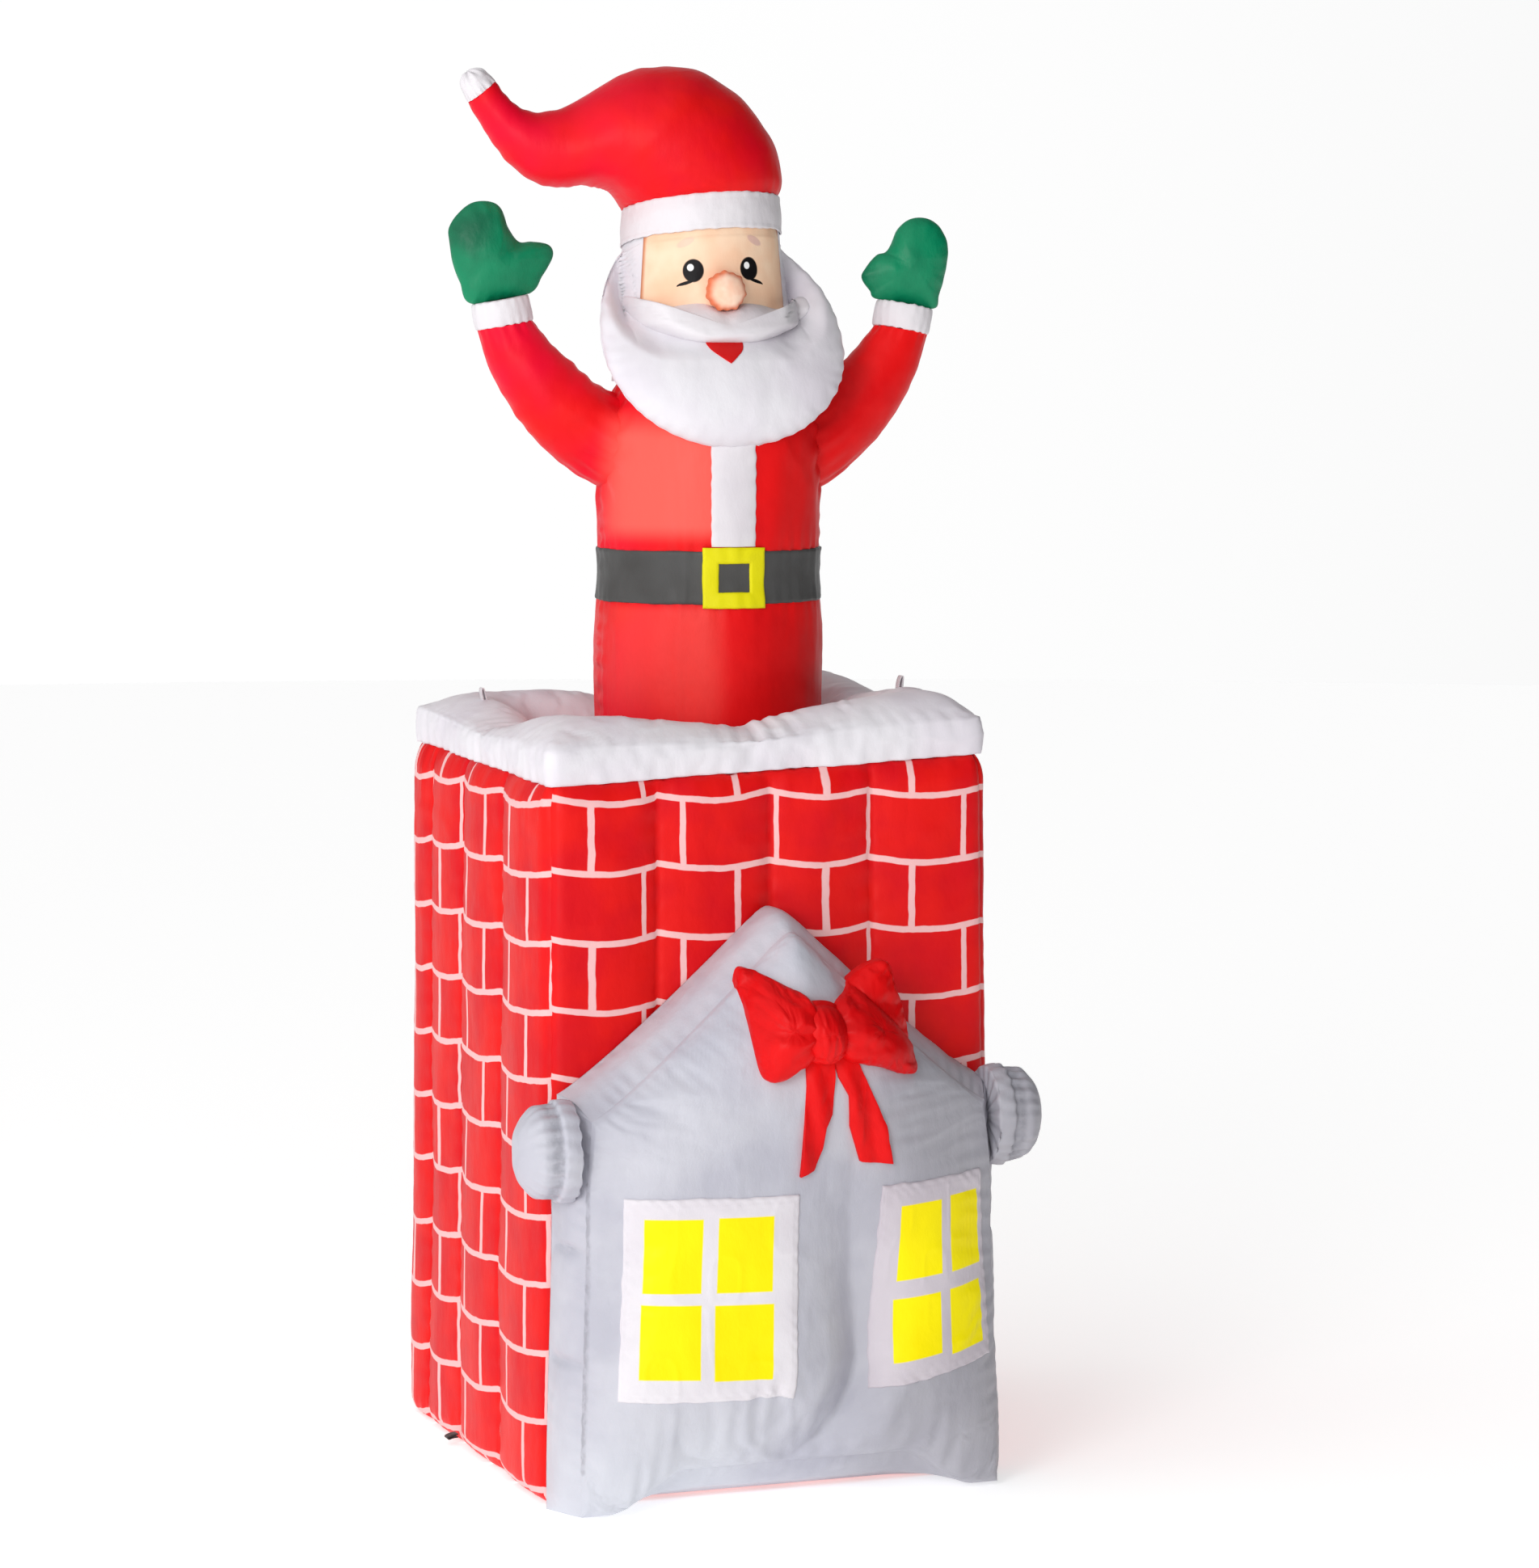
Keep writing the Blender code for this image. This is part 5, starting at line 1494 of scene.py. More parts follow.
    def beard(self) -> None:
        """Makes the beard: a puffed bib whose lip lies round the lower face."""
        angle = full_turn(221)
        ring = np.sin(0.5 * math.pi * np.linspace(0, 1, 90))[:, None]
        edge_x, edge_z = self.rim_of_beard(angle)
        x = self.beard_shift + (edge_x - self.beard_shift) * ring
        z = self.middle + (edge_z - self.middle) * ring
        front = self.front(x, z)
        grid = packed(x, -front, z)
        away = (1 - ring) * 0.14
        run = angle * 0.15
        opening = self.from_opening(x, z)
        lift = 0.0018 * Noise.folds(grid, (0.06, 0.06, 0.09), 91)
        lift += puckers(run, away, 0.021, 0.0012, 0.014, 92) * ease((1 - ring) / 0.01 + 0.5)
        lift += puckers(run, opening, 0.017, 0.0016, 0.012, 93)
        width, depth, forward = self.section(z)
        across = unit(np.abs(x - self.beard_shift) / np.maximum(width, 1e-6))
        behind = forward - depth * np.sqrt(1 - across * across)
        back = packed(x, -behind, z)[::-1]
        shell = Shell("beard_cloth", Carrier.HEAD)
        shell.add(grid, wrap=True, lift=lift * (opening > -0.002), facing=FORWARD)
        rim = shell.points[-1].reshape(grid.shape)[-1]
        back[0] = rim
        behind_lift = puckers(run, away[::-1], 0.021, 0.0008, 0.014, 92) * (away[::-1] > 0)
        shell.add(back, wrap=True, lift=behind_lift, facing=BACKWARD)
        shell.points[-1].reshape(back.shape)[0] = rim
        shell.build(SNOW, "beard")

    def moustache(self) -> None:
        """Makes the moustache, drawn in at its middle and its two tips."""
        upper = [
            (0.0, 1.4890), (0.014, 1.4925), (0.030, 1.4965), (0.055, 1.494), (0.080, 1.489),
            (0.104, 1.492)
        ]
        tip = [(0.120, 1.504), (0.127, 1.502), (0.127, 1.488)]
        lower = [(0.112, 1.470), (0.082, 1.457), (0.045, 1.4475), (0.020, 1.4455), (0.0, 1.4455)]
        right = upper + tip + lower
        left = [(-x * (1 - 1.2 * max(0.0, x - 0.02)), z) for x, z in reversed(right[1:-1])]
        outline = resample(round_loop(right + left, 400), 220)

        def rise(share: Array) -> Array:
            """How far the moustache stands proud of the beard."""
            return 0.0005 + 0.017 * np.sin(0.5 * math.pi * share) ** 1.2

        def lift(x: Array, z: Array, share: Array) -> Array:
            """The dent in its middle, the gathers at its tips and the even crest between them."""
            dent = -0.006 * hump(x, 0.012) * hump(z - 1.482, 0.014) * share
            for side in (-1, 1):
                far = np.hypot(x - side * 0.104, z - 1.492)
                dent += (
                    0.0030 * np.cos(np.arctan2(z - 1.490, x - side * 0.096) * 7 + side)
                    * hump(far, 0.016) * np.sqrt(share)
                )
            even = 0.121 - 0.5 * (z - 1.470) - 1.1 * x**2
            even = np.clip(even - self.front(x, z), -0.004, 0.034)
            return (
                dent + even * ease(share / 0.60)
                + 0.0012 * Noise.folds(packed(x, 0, z), (0.04, 1.0, 0.02), 101)
            )

        cushion("moustache", outline, (0.0, 1.466), self.front, rise, TRIM, Carrier.HEAD, lift=lift)

    def mouth(self) -> None:
        """Makes the mouth, a thin padded patch sewn under the moustache."""
        corners = [
            (-0.028, 1.4465), (-0.014, 1.4480), (-0.004, 1.4480), (0.008, 1.4480), (0.019, 1.4465),
            (0.0175, 1.437), (0.009, 1.4285), (-0.001, 1.4200), (-0.003, 1.4200), (-0.015, 1.4285),
            (-0.0245, 1.437)
        ]
        outline = resample(round_loop(corners, 200), 96)

        def rise(share: Array) -> Array:
            """How far the mouth stands proud of the beard."""
            return 0.0012 + 0.0016 * np.sqrt(share)

        cushion("mouth", outline, (-0.003, 1.437), self.front, rise, MOUTH, Carrier.HEAD, rings=10)

    def nose(self) -> None:
        """Makes the nose, a ball drawn in where it is sewn to the face."""
        radius, rows, columns = 0.0255, 48, 72
        polar = np.linspace(0.0, 0.88 * math.pi, rows)[:, None]
        angle = full_turn(columns + 1)
        facets = 1 + 0.030 * np.cos(7 * angle + 0.6) * np.sin(polar) ** 3
        reach = radius * np.sin(polar) * facets
        x, z = reach * np.sin(angle), reach * np.cos(angle)
        y = -0.121 - radius * 0.86 * np.cos(polar) * np.ones_like(angle)
        grid = packed(x, y, 1.511 + z)
        lift = 0.0005 * Noise.folds(grid, 0.02, 111) + 0.0010 * np.cos(14 * angle + 1) * np.sin(polar) ** 8
        Shell("nose_cloth", Carrier.HEAD).add(grid, wrap=True, lift=lift).build(NOSE, "nose")


def cushion(
    name: str,
    outline: Array,
    middle: Sequence[float],
    front: Callable[[Array, Array], Array],
    rise: Callable[[Array], Array],
    finish: Finish,
    carrier: Carrier = Carrier.GROUND,
    rings: int = 26,
    lift: Optional[Callable[[Array, Array, Array], Array]] = None,
) -> Piece:
    """Makes a piece that is puffed over whatever carries it.

    Args:
        name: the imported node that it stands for.
        outline: its closed outline, as (x, z).
        middle: the point that its rings shrink to.
        front: how far forward the carrier stands at (x, z).
        rise: how far the piece stands proud for a share from the edge, 0, to the middle, 1.
        finish: what it is made of.
        carrier: the frame that its points are in.
        rings: how many rings it has.
        lift: extra height for (x, z, share).

    Returns:
        The new piece.
    """
    loop = np.concatenate([outline, outline[:1]])
    centre = np.asarray(middle, float)
    share = np.linspace(0, 1, rings + 1)
    inward = np.cos(0.5 * math.pi * share)
    plane = centre + (loop - centre) * inward[:, None, None]
    x, z = plane[..., 0], plane[..., 1]
    proud = rise(share)[:, None] * np.ones_like(x)
    if lift is not None:
        proud = proud + lift(x, z, share[:, None] * np.ones_like(x))
    ground = front(x, z)
    top = packed(x, -(ground + proud), z)
    under = packed(x[0], -(ground[0] - 0.008), z[0])
    shell = Shell(name + "_cloth", carrier)
    shell.add(np.concatenate([under[None], top]))
    return shell.build(finish, name)


@dataclass
class Hat:
    """The red hat bag that leans to one side, with its white band and tip."""

    band_low: float = 1.577
    band_height: float = 0.046
    tip_length: float = 0.031
    steps: int = 190
    sides: int = 130
    slim: float = 0.972
    sides_of_bag: tuple[tuple[float, float, float, float], ...] = (
        (-0.1010, 0.000, 0.1010, 0.000),
        (-0.1080, 0.006, 0.1065, 0.030),
        (-0.1160, 0.013, 0.0985, 0.072),
        (-0.1230, 0.018, 0.0810, 0.105),
        (-0.1290, 0.021, 0.0520, 0.140),
        (-0.1350, 0.023, 0.0170, 0.163),
        (-0.1415, 0.0245, -0.0140, 0.1755),
        (-0.1490, 0.0255, -0.0590, 0.1775),
        (-0.1580, 0.0260, -0.0900, 0.1730),
        (-0.1700, 0.0245, -0.1220, 0.1590),
        (-0.1840, 0.0230, -0.1520, 0.1400),
        (-0.2010, 0.0240, -0.1800, 0.1245),
        (-0.2280, 0.0330, -0.2150, 0.1170),
        (-0.2580, 0.0570, -0.2400, 0.1225),
        (-0.2860, 0.0940, -0.2600, 0.1390),
        (-0.3070, 0.1310, -0.2730, 0.1575),
    )

    def stations(self) -> Array:
        """Middles, half widths and leans, from the band over the crown to the tail."""
        base = self.band_low + self.band_height - 0.002
        sides = through(self.sides_of_bag, self.steps)
        left, right = sides[:, :2], sides[:, 2:]
        middle, across = (left + right) / 2, right - left
        lean = -np.degrees(np.arctan2(across[:, 1], across[:, 0]))
        half = np.hypot(across[:, 0], across[:, 1]) / 2
        return packed(middle[:, 0], base + middle[:, 1], half, lean)

    def rings(self, stations: Array, tilt: Array) -> tuple[Array, Array]:
        """Sections across the path.

        Args:
            stations: rows of x, z, half width and lean in degrees.
            tilt: the share of the band's tilt that each keeps.

        Returns:
            The grid and its angles.
        """
        angle = full_turn(self.sides + 1)
        x, z, half, lean = (stations[:, column : column + 1] for column in range(4))
        lean = np.radians(lean)
        across, deep = half * np.sin(angle), half * np.cos(angle)
        rise = band_rise(angle) * tilt[:, None]
        grid = packed(x + self.slim * across * np.cos(lean), -deep, z - across * np.sin(lean) + rise)
        return grid, angle * np.ones_like(across)

    def build(self) -> None:
        """Makes the bag, the tip and the band."""
        stations = self.stations()
        run = np.linspace(0, 1, self.steps)
        tilt = unit(1 - 5.2 * run)
        grid, angle = self.rings(stations, tilt)
        length = run_of(stations[:, :2])[:, None]
        half = stations[:, 2:3]
        right = np.abs(signed(angle, math.pi / 2)) * half
        left = np.abs(signed(angle, -math.pi / 2)) * half
        lift = 0.0016 * Noise.folds(grid, (0.09, 0.09, 0.07), 121)
        lift += puckers(length, right, 0.025, 0.0007, 0.016, 122) * ease(length / 0.03)
        lift += puckers(length + 5.0, left, 0.023, 0.0007, 0.016, 123) * ease(length / 0.03)
        lift += puckers(angle * half, length, 0.022, 0.0014, 0.018, 124)
        lift *= ease(length / 0.010)
        bend = hump(length - 0.335, 0.040) * hump(left, 0.045)
        lift += 0.0014 * bend * Noise.smooth(grid, (0.018, 0.05, 0.018), 126)
        inner = hump(length - 0.20, 0.060) * hump(left, 0.050)
        lift += 0.0014 * inner * Noise.smooth(grid, (0.016, 0.05, 0.016), 125)
        shell = Shell("hat_cloth", Carrier.HEAD)
        shell.add(grid, wrap=True, lift=lift)
        last = shell.points[-1].reshape(grid.shape)[-1]
        middle = last.mean(axis=0)
        shell.add(np.stack([last, middle + 0.4 * (last - middle), 0 * last + middle]))
        shell.build(BAG, "hat")
        self.tip(stations[-1])
        self.band()

    def tip(self, last: Array) -> None:
        """Makes the white end of the tail, with its gathered nose."""
        share = np.linspace(0, 1, 44)
        size = np.where(
            share < 0.45, 1.03 - 0.10 * (share / 0.45) ** 2,
            0.93 * np.sqrt(unit(1 - ((share - 0.45) / 0.55) ** 2))
        )
        lean = math.radians(last[3])
        away = self.tip_length * share
        x, z = last[0] + math.sin(lean) * away, last[1] + math.cos(lean) * away
        stations = packed(x, z, last[2] * size, last[3])
        grid, angle = self.rings(stations, np.zeros_like(share))
        away = share[:, None] * self.tip_length
        lift = puckers(angle * 0.023, away, 0.010, 0.0012, 0.012, 131)
        lift += 0.0012 * np.cos(9 * angle) * hump(self.tip_length - away, 0.012) * (size[:, None] > 0.15)
        lift += 0.0006 * Noise.folds(grid, 0.02, 132)
        Shell("hat_tip_cloth", Carrier.HEAD).add(grid, wrap=True, lift=lift).build(TRIM, "hat_tip")

    def band(self) -> None:
        """Makes the white band with a turned, slightly wavy hem."""
        inner = head_radius(np.array(self.band_low)) + 0.0008
        profile = [(0.0, 0.0), (0.0016, -0.0006), (0.0034, 0.0006), (0.0040, 0.003)]
        profile += [
            (0.0030 + 0.0022 * math.sin(math.pi * s), 0.004 + 0.0365 * s)
            for s in np.linspace(0.04, 0.96, 18)
        ]
        profile += [(0.0036, 0.0430), (0.0028, 0.0458), (0.0012, 0.0462), (-0.0015, 0.0450)]
        profile = np.array(profile) * (0.62, 1.0)
        angle = full_turn(161, math.pi)
        run = angle * inner
        hem = 0.0012 * Noise.along(run, 0.020, 141) * unit(1 - profile[:, 1:] / 0.012)
        z = self.band_low + profile[:, 1:] + band_rise(angle) + hem
        radius = inner - 0.0022 * profile[:, 1:] / self.band_height + profile[:, :1] + 0 * angle
        grid = about(radius, angle, z)
        lift = 0.0009 * Noise.folds(grid, (0.04, 0.04, 0.03), 142)
        lift += (
            puckers(run, profile[:, 1:], 0.016, 0.0008, 0.010, 143)
            + puckers(run, 0.046 - profile[:, 1:], 0.018, 0.0008, 0.010, 144)
        )
        Shell("hat_band_cloth", Carrier.HEAD).add(grid, wrap=True, lift=lift).build(TRIM, "hat_band")


@dataclass
class Arm:
    """One raised arm with its cuff and mitten."""

    name: str
    side: int
    reach: float
    raised: float
    outline: tuple[tuple[float, float], ...]
    wrist_x: float = 0.2685
    wrist_z: float = 1.466
    wrist_radius: float = 0.0355
    shoulder: float = 0.085
    lean: float = math.radians(10.5)
    cuff_length: float = 0.033
    cuff_radius: float = 0.0375
    thick: float = 0.027

    def path(self, count: int) -> Array:
        """The arm's middle line and radius, from inside the shoulder to the wrist."""
        knots = [
            (self.shoulder, 1.300, 0.058),
            (0.130, 1.316, 0.059),
            (0.178, 1.346, 0.055),
            (0.224, 1.393, 0.048),
            (0.252, 1.432, 0.041),
            (self.wrist_x, self.wrist_z, self.wrist_radius),
        ]
        path = through(knots, count)
        path[:, 0] = self.shoulder + (path[:, 0] - self.shoulder) * self.reach
        return path

    def ring(self, x: Array, z: Array, radius: Array, lean: Array, sides: int) -> tuple[Array, Array]:
        """Rings square to a direction that leans from upright, away from the body."""
        angle = full_turn(sides + 1)
        across = radius * np.sin(angle)
        out = self.side * (x + across * np.cos(lean))
        grid = packed(out, -radius * np.cos(angle), z - across * np.sin(lean) + self.raised)
        return grid, angle * np.ones_like(across)

    def build(self) -> None:
        """Makes the sleeve, the cuff and the mitten."""
        path = self.path(110)
        step = np.gradient(path[:, :2], axis=0)
        lean = np.arctan2(step[:, 0], step[:, 1])
        share = np.linspace(0, 1, len(path))
        lean = lean + (self.lean - lean) * ease((share - 0.85) / 0.15)
        columns = [path[:, 0:1], path[:, 1:2], path[:, 2:3], lean[:, None]]
        grid, angle = self.ring(*columns, 96)
        length = run_of(path[:, :2])[:, None]
        end = length[-1, 0]
        under = np.abs(signed(angle, math.pi / 2)) * 0.05
        upper = np.abs(signed(angle, -math.pi / 2)) * 0.05
        seed = 150 + 10 * self.side
        lift = 0.0014 * Noise.folds(grid, (0.05, 0.05, 0.05), seed)
        lift += (
            puckers(length, under, 0.023, 0.0010, 0.014, seed + 1)
            + puckers(length, upper, 0.025, 0.0009, 0.014, seed + 2)
        )
        elbow = hump(length - 0.55 * end, 0.045) * hump(upper, 0.040)
        lift += 0.0012 * elbow * np.cos(length * 2 * math.pi / 0.027)
        lift += puckers(angle * 0.036, end - length, 0.017, 0.0014, 0.018, seed + 3)
        lift += puckers(angle * 0.058, length - 0.062, 0.024, 0.0022, 0.026, seed + 4)
        shell = Shell("arm_" + self.name + "_cloth", Carrier.FIGURE)
        shell.add(grid, wrap=True, lift=lift)
        for ring in (grid[0], grid[-1]):
            shell.add(lid(ring, 0.0))
        shell.build(SUIT, "arm_" + self.name)
        along = np.array((math.sin(self.lean), math.cos(self.lean)))
        foot = path[-1, :2]
        self.cuff(foot, along)
        self.mitten(foot + along * (self.cuff_length + 0.0004))

    def cuff(self, foot: Array, along: Array) -> None:
        """Makes the white cuff, puffed between its two seams."""
        share = np.concatenate([[-0.01], np.linspace(0, 1, 26), [1.01]])[:, None]
        radius = self.cuff_radius * (0.965 + 0.06 * np.sqrt(unit(np.sin(math.pi * unit(share)))))
        radius[0] = radius[-1] = 0.6 * self.cuff_radius
        x = foot[0] + along[0] * self.cuff_length * share
        z = foot[1] + along[1] * self.cuff_length * share
        grid, angle = self.ring(x, z, radius, np.full_like(x, self.lean), 88)
        run = angle * self.cuff_radius
        inside = ((share > -0.005) & (share < 1.005)).astype(float)
        lift = puckers(run, share * self.cuff_length, 0.013, 0.0012, 0.012, 161 + self.side)
        lift += puckers(run, (1 - share) * self.cuff_length, 0.014, 0.0012, 0.012, 163 + self.side)
        lift = (lift + 0.0007 * Noise.folds(grid, 0.03, 165)) * inside
        shell = Shell("cuff_" + self.name + "_cloth", Carrier.FIGURE)
        shell.add(grid, wrap=True, lift=lift).build(TRIM, "cuff_" + self.name)

    def mitten(self, wrist: Array) -> None:
        """Makes the mitten from two panels, puckered along their seam."""
        outline = resample(round_loop(self.outline, 400), 200)
        outline = np.concatenate([outline, outline[:1]])
        run = run_of(outline)[None, :]
        middle = np.array((0.006, 0.050))
        rise = np.linspace(0, 1, 34)
        level = np.concatenate([-1 + rise**1.25, (1 - (1 - rise) ** 1.25)[1:]])[:, None]
        share = np.cos(0.5 * math.pi * np.abs(level)) ** 0.9
        depth = self.thick * np.sin(0.5 * math.pi * level)
        plane = middle + (outline[None] - middle) * share[..., None]
        x, z = plane[..., 0], plane[..., 1]
        thumb = np.array(self.outline[10])
        palm = np.array((0.000, 0.046))
        run_to = palm - thumb
        place = unit(((x - thumb[0]) * run_to[0] + (z - thumb[1]) * run_to[1]) / (run_to @ run_to))
        away = np.hypot(x - thumb[0] - place * run_to[0], z - thumb[1] - place * run_to[1])
        groove = 0.30 * hump(away, 0.009) * (1 - place)
        taper = 0.72 + 0.28 * unit(z / 0.060)
        narrow = 1 - 0.35 * unit((-x - 0.020) / 0.040)
        y = depth * taper * narrow * (1 - groove)
        seed = 171 + 10 * self.side
        from_seam = (1 - share) * 0.055
        crinkle = (
            puckers(run + 0 * x, from_seam, 0.020, 0.0016, 0.010, seed) * np.sign(level)
            * np.sqrt(np.abs(np.sin(0.5 * math.pi * level)))
        )
        y = (
            y + crinkle + 0.0012 * Noise.folds(packed(x, y, z), (0.03, 0.2, 0.03), seed + 3)
            * np.sign(level) * (1 - share)
        )
        sine, cosine = math.sin(self.lean), math.cos(self.lean)
        across = x * cosine - z * sine
        along = np.maximum(x * sine + z * cosine, 0.0)
        out = across * cosine + along * sine
        grid = packed(
            self.side * (wrist[0] + out), y, wrist[1] + along * cosine - across * sine + self.raised
        )
        shell = Shell("mitten_" + self.name + "_cloth", Carrier.FIGURE)
        shell.add(grid, wrap=True).build(GREEN, "mitten_" + self.name)


@dataclass
class House:
    """The grey house front with its eaves, windows and bow."""

    chimney: Chimney
    peak: float = 0.752
    eave: float = 0.520
    half_eave: float = 0.279
    half_waist: float = 0.287
    waist: float = 0.400
    half_foot: float = 0.297
    middle: float = -0.009
    gusset: float = 0.085
    puff: float = 0.064
    inset: float = 0.019
    roof_inset: float = 0.024
    foot_rise: float = 0.050
    crease_heights: tuple[float, ...] = (0.03, 0.063, 0.092, 0.119, 0.150, 0.190, 0.40)
    crease_places: tuple[float, ...] = (-0.040, -0.018, 0.020, 0.040, 0.056, 0.066, 0.050)
    left_window: Knots = ((-0.251, 0.156), (-0.030, 0.150), (-0.024, 0.403), (-0.241, 0.404))
    right_window: Knots = ((0.076, 0.149), (0.249, 0.178), (0.2395, 0.412), (0.088, 0.405))
    window_height: float = 0.26
    seam_scale: float = 0.27
    side_creases: Knots = ((0.335, 0.010), (0.195, 0.009), (0.455, 0.006))
    cells: int = 190
    rows: int = 170

    def back(self, z: Array) -> Array:
        """How far forward the chimney's face lies at a height."""
        return self.chimney.half(z) + 0.0117

    def half(self, z: Array) -> Array:
        """Half the house's width at a height, below the eaves."""
        over = ease((z - self.waist) / (self.eave - self.waist))
        under = ease(1 - z / self.waist)
        high = self.half_waist + (self.half_eave - self.half_waist) * over
        return np.where(z > self.waist, high, self.half_waist + (self.half_foot - self.half_waist) * under)

    def top(self, u: Array) -> Array:
        """The gable line at a share across, hollow on both slopes and blunt at the peak."""
        across = np.sqrt(np.abs(u) ** 2 + 0.0012)
        return self.eave + (self.peak - self.eave) * unit(1 - across) ** 1.13

    def foot(self, u: Array) -> Array:
        """The bottom edge: two ears on the ground with a raised middle."""
        return self.foot_rise * (1 - ease((np.abs(u) - 0.50) / 0.38))

    def unsewn(self, height: Array) -> Array:
        """How far to move the print off the side seam where no stitches show.

        Args:
            height: the height above the floor, in metres.

        Returns:
            Nought beside the windows, and more above and below them.
        """
        return np.maximum(height - 0.42, 0) + np.maximum(0.06 - height, 0)

    def shares(self, x: Array, z: Array) -> tuple[Array, Array]:
        """Where a place lies on the front panel, across from -1 to 1 and up from 0 to 1."""
        half = self.half(np.minimum(z, self.eave)) - self.inset
        u = np.clip((x - self.middle) / half, -1, 1)
        low, high = self.foot(u) + 0.006, self.top(u) - self.roof_inset
        return u, unit((z - low) / np.maximum(high - low, 1e-6))

    def swell(self, u: Array, v: Array) -> Array:
        """The panel's puff, from 0 at its seam to 1."""
        wide = unit(1 - np.abs(u) ** 2.1) ** 0.62
        return wide * unit(1 - (2 * v - 1) ** 4) ** 0.55

    def depth(self, x: Array, z: Array) -> Array:
        """How far the front stands out from its back, with wrinkles."""
        u, v = self.shares(x, z)
        swell = self.swell(u, v)
        line = np.interp(z, self.crease_heights, self.crease_places)
        width = 0.052 - 0.030 * ease((0.30 - z) / 0.2)
        crease = hump(x - line, width, 1.4) * ease((0.56 - z) / 0.34)
        soft = (
            0.0022 * Noise.folds(packed(x, 0, z), (0.10, 1.0, 0.12), 201)
            + 0.0010 * Noise.creases(packed(x, 0, z), (0.04, 1.0, 0.06), 202)
        )
        run = x + z
        side = (1 - np.abs(u)) * self.seam_scale
        high = (1 - v) * 0.3
        seam = puckers(z + 2.0 * np.sign(u), side, 0.024, 0.0022, 0.020, 203)
        seam += (
            puckers(run, high, 0.022, 0.0022, 0.022, 204)
            + puckers(x + 9.0, v * 0.4, 0.030, 0.0035, 0.045, 205)
        )
        fan = np.arctan2(x - line, 0.30 - z + 0.05)
        seam += 0.0030 * np.cos(fan * 26) * hump(x - line, 0.11) * ease((0.22 - z) / 0.12)
        notch = 0.0030 * hump(np.minimum(side, np.minimum(high, v * 0.3)), 0.003)
        lobe = hump(z - 0.115, 0.085) * (1 - hump(x - line, 0.060))
        plain = self.gusset + (self.puff + 0.020 * lobe) * swell - 0.044 * crease * swell
        return plain + (soft + seam) * np.sqrt(unit(swell)) - notch

    def front(self, x: Array, z: Array) -> Array:
        """How far forward the house's front stands."""
        return self.back(z) + self.depth(x, z)

    def places(self) -> tuple[Array, Array]:
        """The shares across and up of the grid's points, closer together at the seams."""
        u = np.sin(0.5 * math.pi * np.linspace(-1, 1, self.cells))[None, :]
        return u, (0.5 - 0.5 * np.cos(math.pi * np.linspace(0, 1, self.rows)))[:, None]

    def panel(self) -> Array:
        """The front panel's grid."""
        u, v = self.places()
        z = (self.foot(u) + 0.006) * (1 - v) + (self.top(u) - self.roof_inset) * v
        x = self.middle + u * (self.half(np.minimum(z, self.eave)) - self.inset)
        return packed(x, -self.front(x, z), z)

    def outline(self) -> Array:
        """The back outline, point for point with the front panel's border."""
        u, v = self.places()
        z = 0.12 * self.foot(u) * (1 - v) + self.top(u) * v
        x = self.middle + u * self.half(np.minimum(z, self.eave))
        return packed(x, -self.back(z), z)

    @staticmethod
    def border(grid: Array) -> Array:
        """A grid's border as one closed row, its first point again at the end."""
        ring = np.concatenate([grid[0, :-1], grid[:-1, -1], grid[-1, :0:-1], grid[:0:-1, 0]])
        return np.concatenate([ring, ring[:1]])

    def build(self) -> None:
        """Makes the pillow, the eaves, the windows and the bow."""
        panel, outline = self.panel(), self.outline()
        front, back = self.border(panel), self.border(outline)
        share = np.concatenate([
            [0.0, 0.02, 0.05], np.linspace(0.1, 0.9, 14), [0.95, 0.98, 1.0]
        ])[:, None, None]
        gusset = back + (front - back) * share
        run = run_of(back)[None, :]
        place = share[..., 0]
        upright = (np.abs(np.gradient(back[:, 2])) > np.abs(np.gradient(back[:, 0])) * 1.2)[None, :]
        bulge = 0.0085 * np.sin(math.pi * place) ** 0.8 * np.ones_like(run)
        lift = bulge + puckers(run, place * self.gusset, 0.024, 0.0024, 0.020, 211)
        lift += puckers(run, (1 - place) * self.gusset, 0.022, 0.0026, 0.020, 212)
        height = gusset[..., 2]
        for level, deep in self.side_creases:
            lift -= deep * hump(height - level, 0.005, 1.1) * upright * np.sin(math.pi * place) ** 0.4
        lift += 0.0016 * Noise.folds(gusset, (0.05, 0.05, 0.09), 213)
        lift *= np.sin(math.pi * unit(place)) ** 0.35
        lift *= ease(height / 0.03)
        u, _ = self.shares(panel[..., 0], panel[..., 2])
        inside = (1 - np.abs(u)) * self.seam_scale + self.unsewn(panel[..., 2])
        beside = (1 - place) * self.gusset + 0 * run + self.unsewn(gusset[..., 2])
        far = np.ones((*outline.shape[:2], 2))
        shell = Shell("house_cloth")
        shell.add(panel, printed=packed(inside, 0 * inside))
        shell.add(gusset, wrap=True, lift=lift, printed=packed(beside, 0 * beside))
        shell.add(outline, printed=far)
        body = shell.build(GREY, "house_front")
        self.eaves()
        windows, bow = self.windows(), Bow(self)
        sewn = bow.build()
        before = points_of(body.data)
        held = -before[:, 1] < self.back(before[:, 2]) + self.gusset + 0.004
        moved = Blower().blow(body, held, 0.010, 0.006)
        if moved.any():
            Blower.carry(before, moved, [*windows, *sewn])
        bow.blow(sewn)

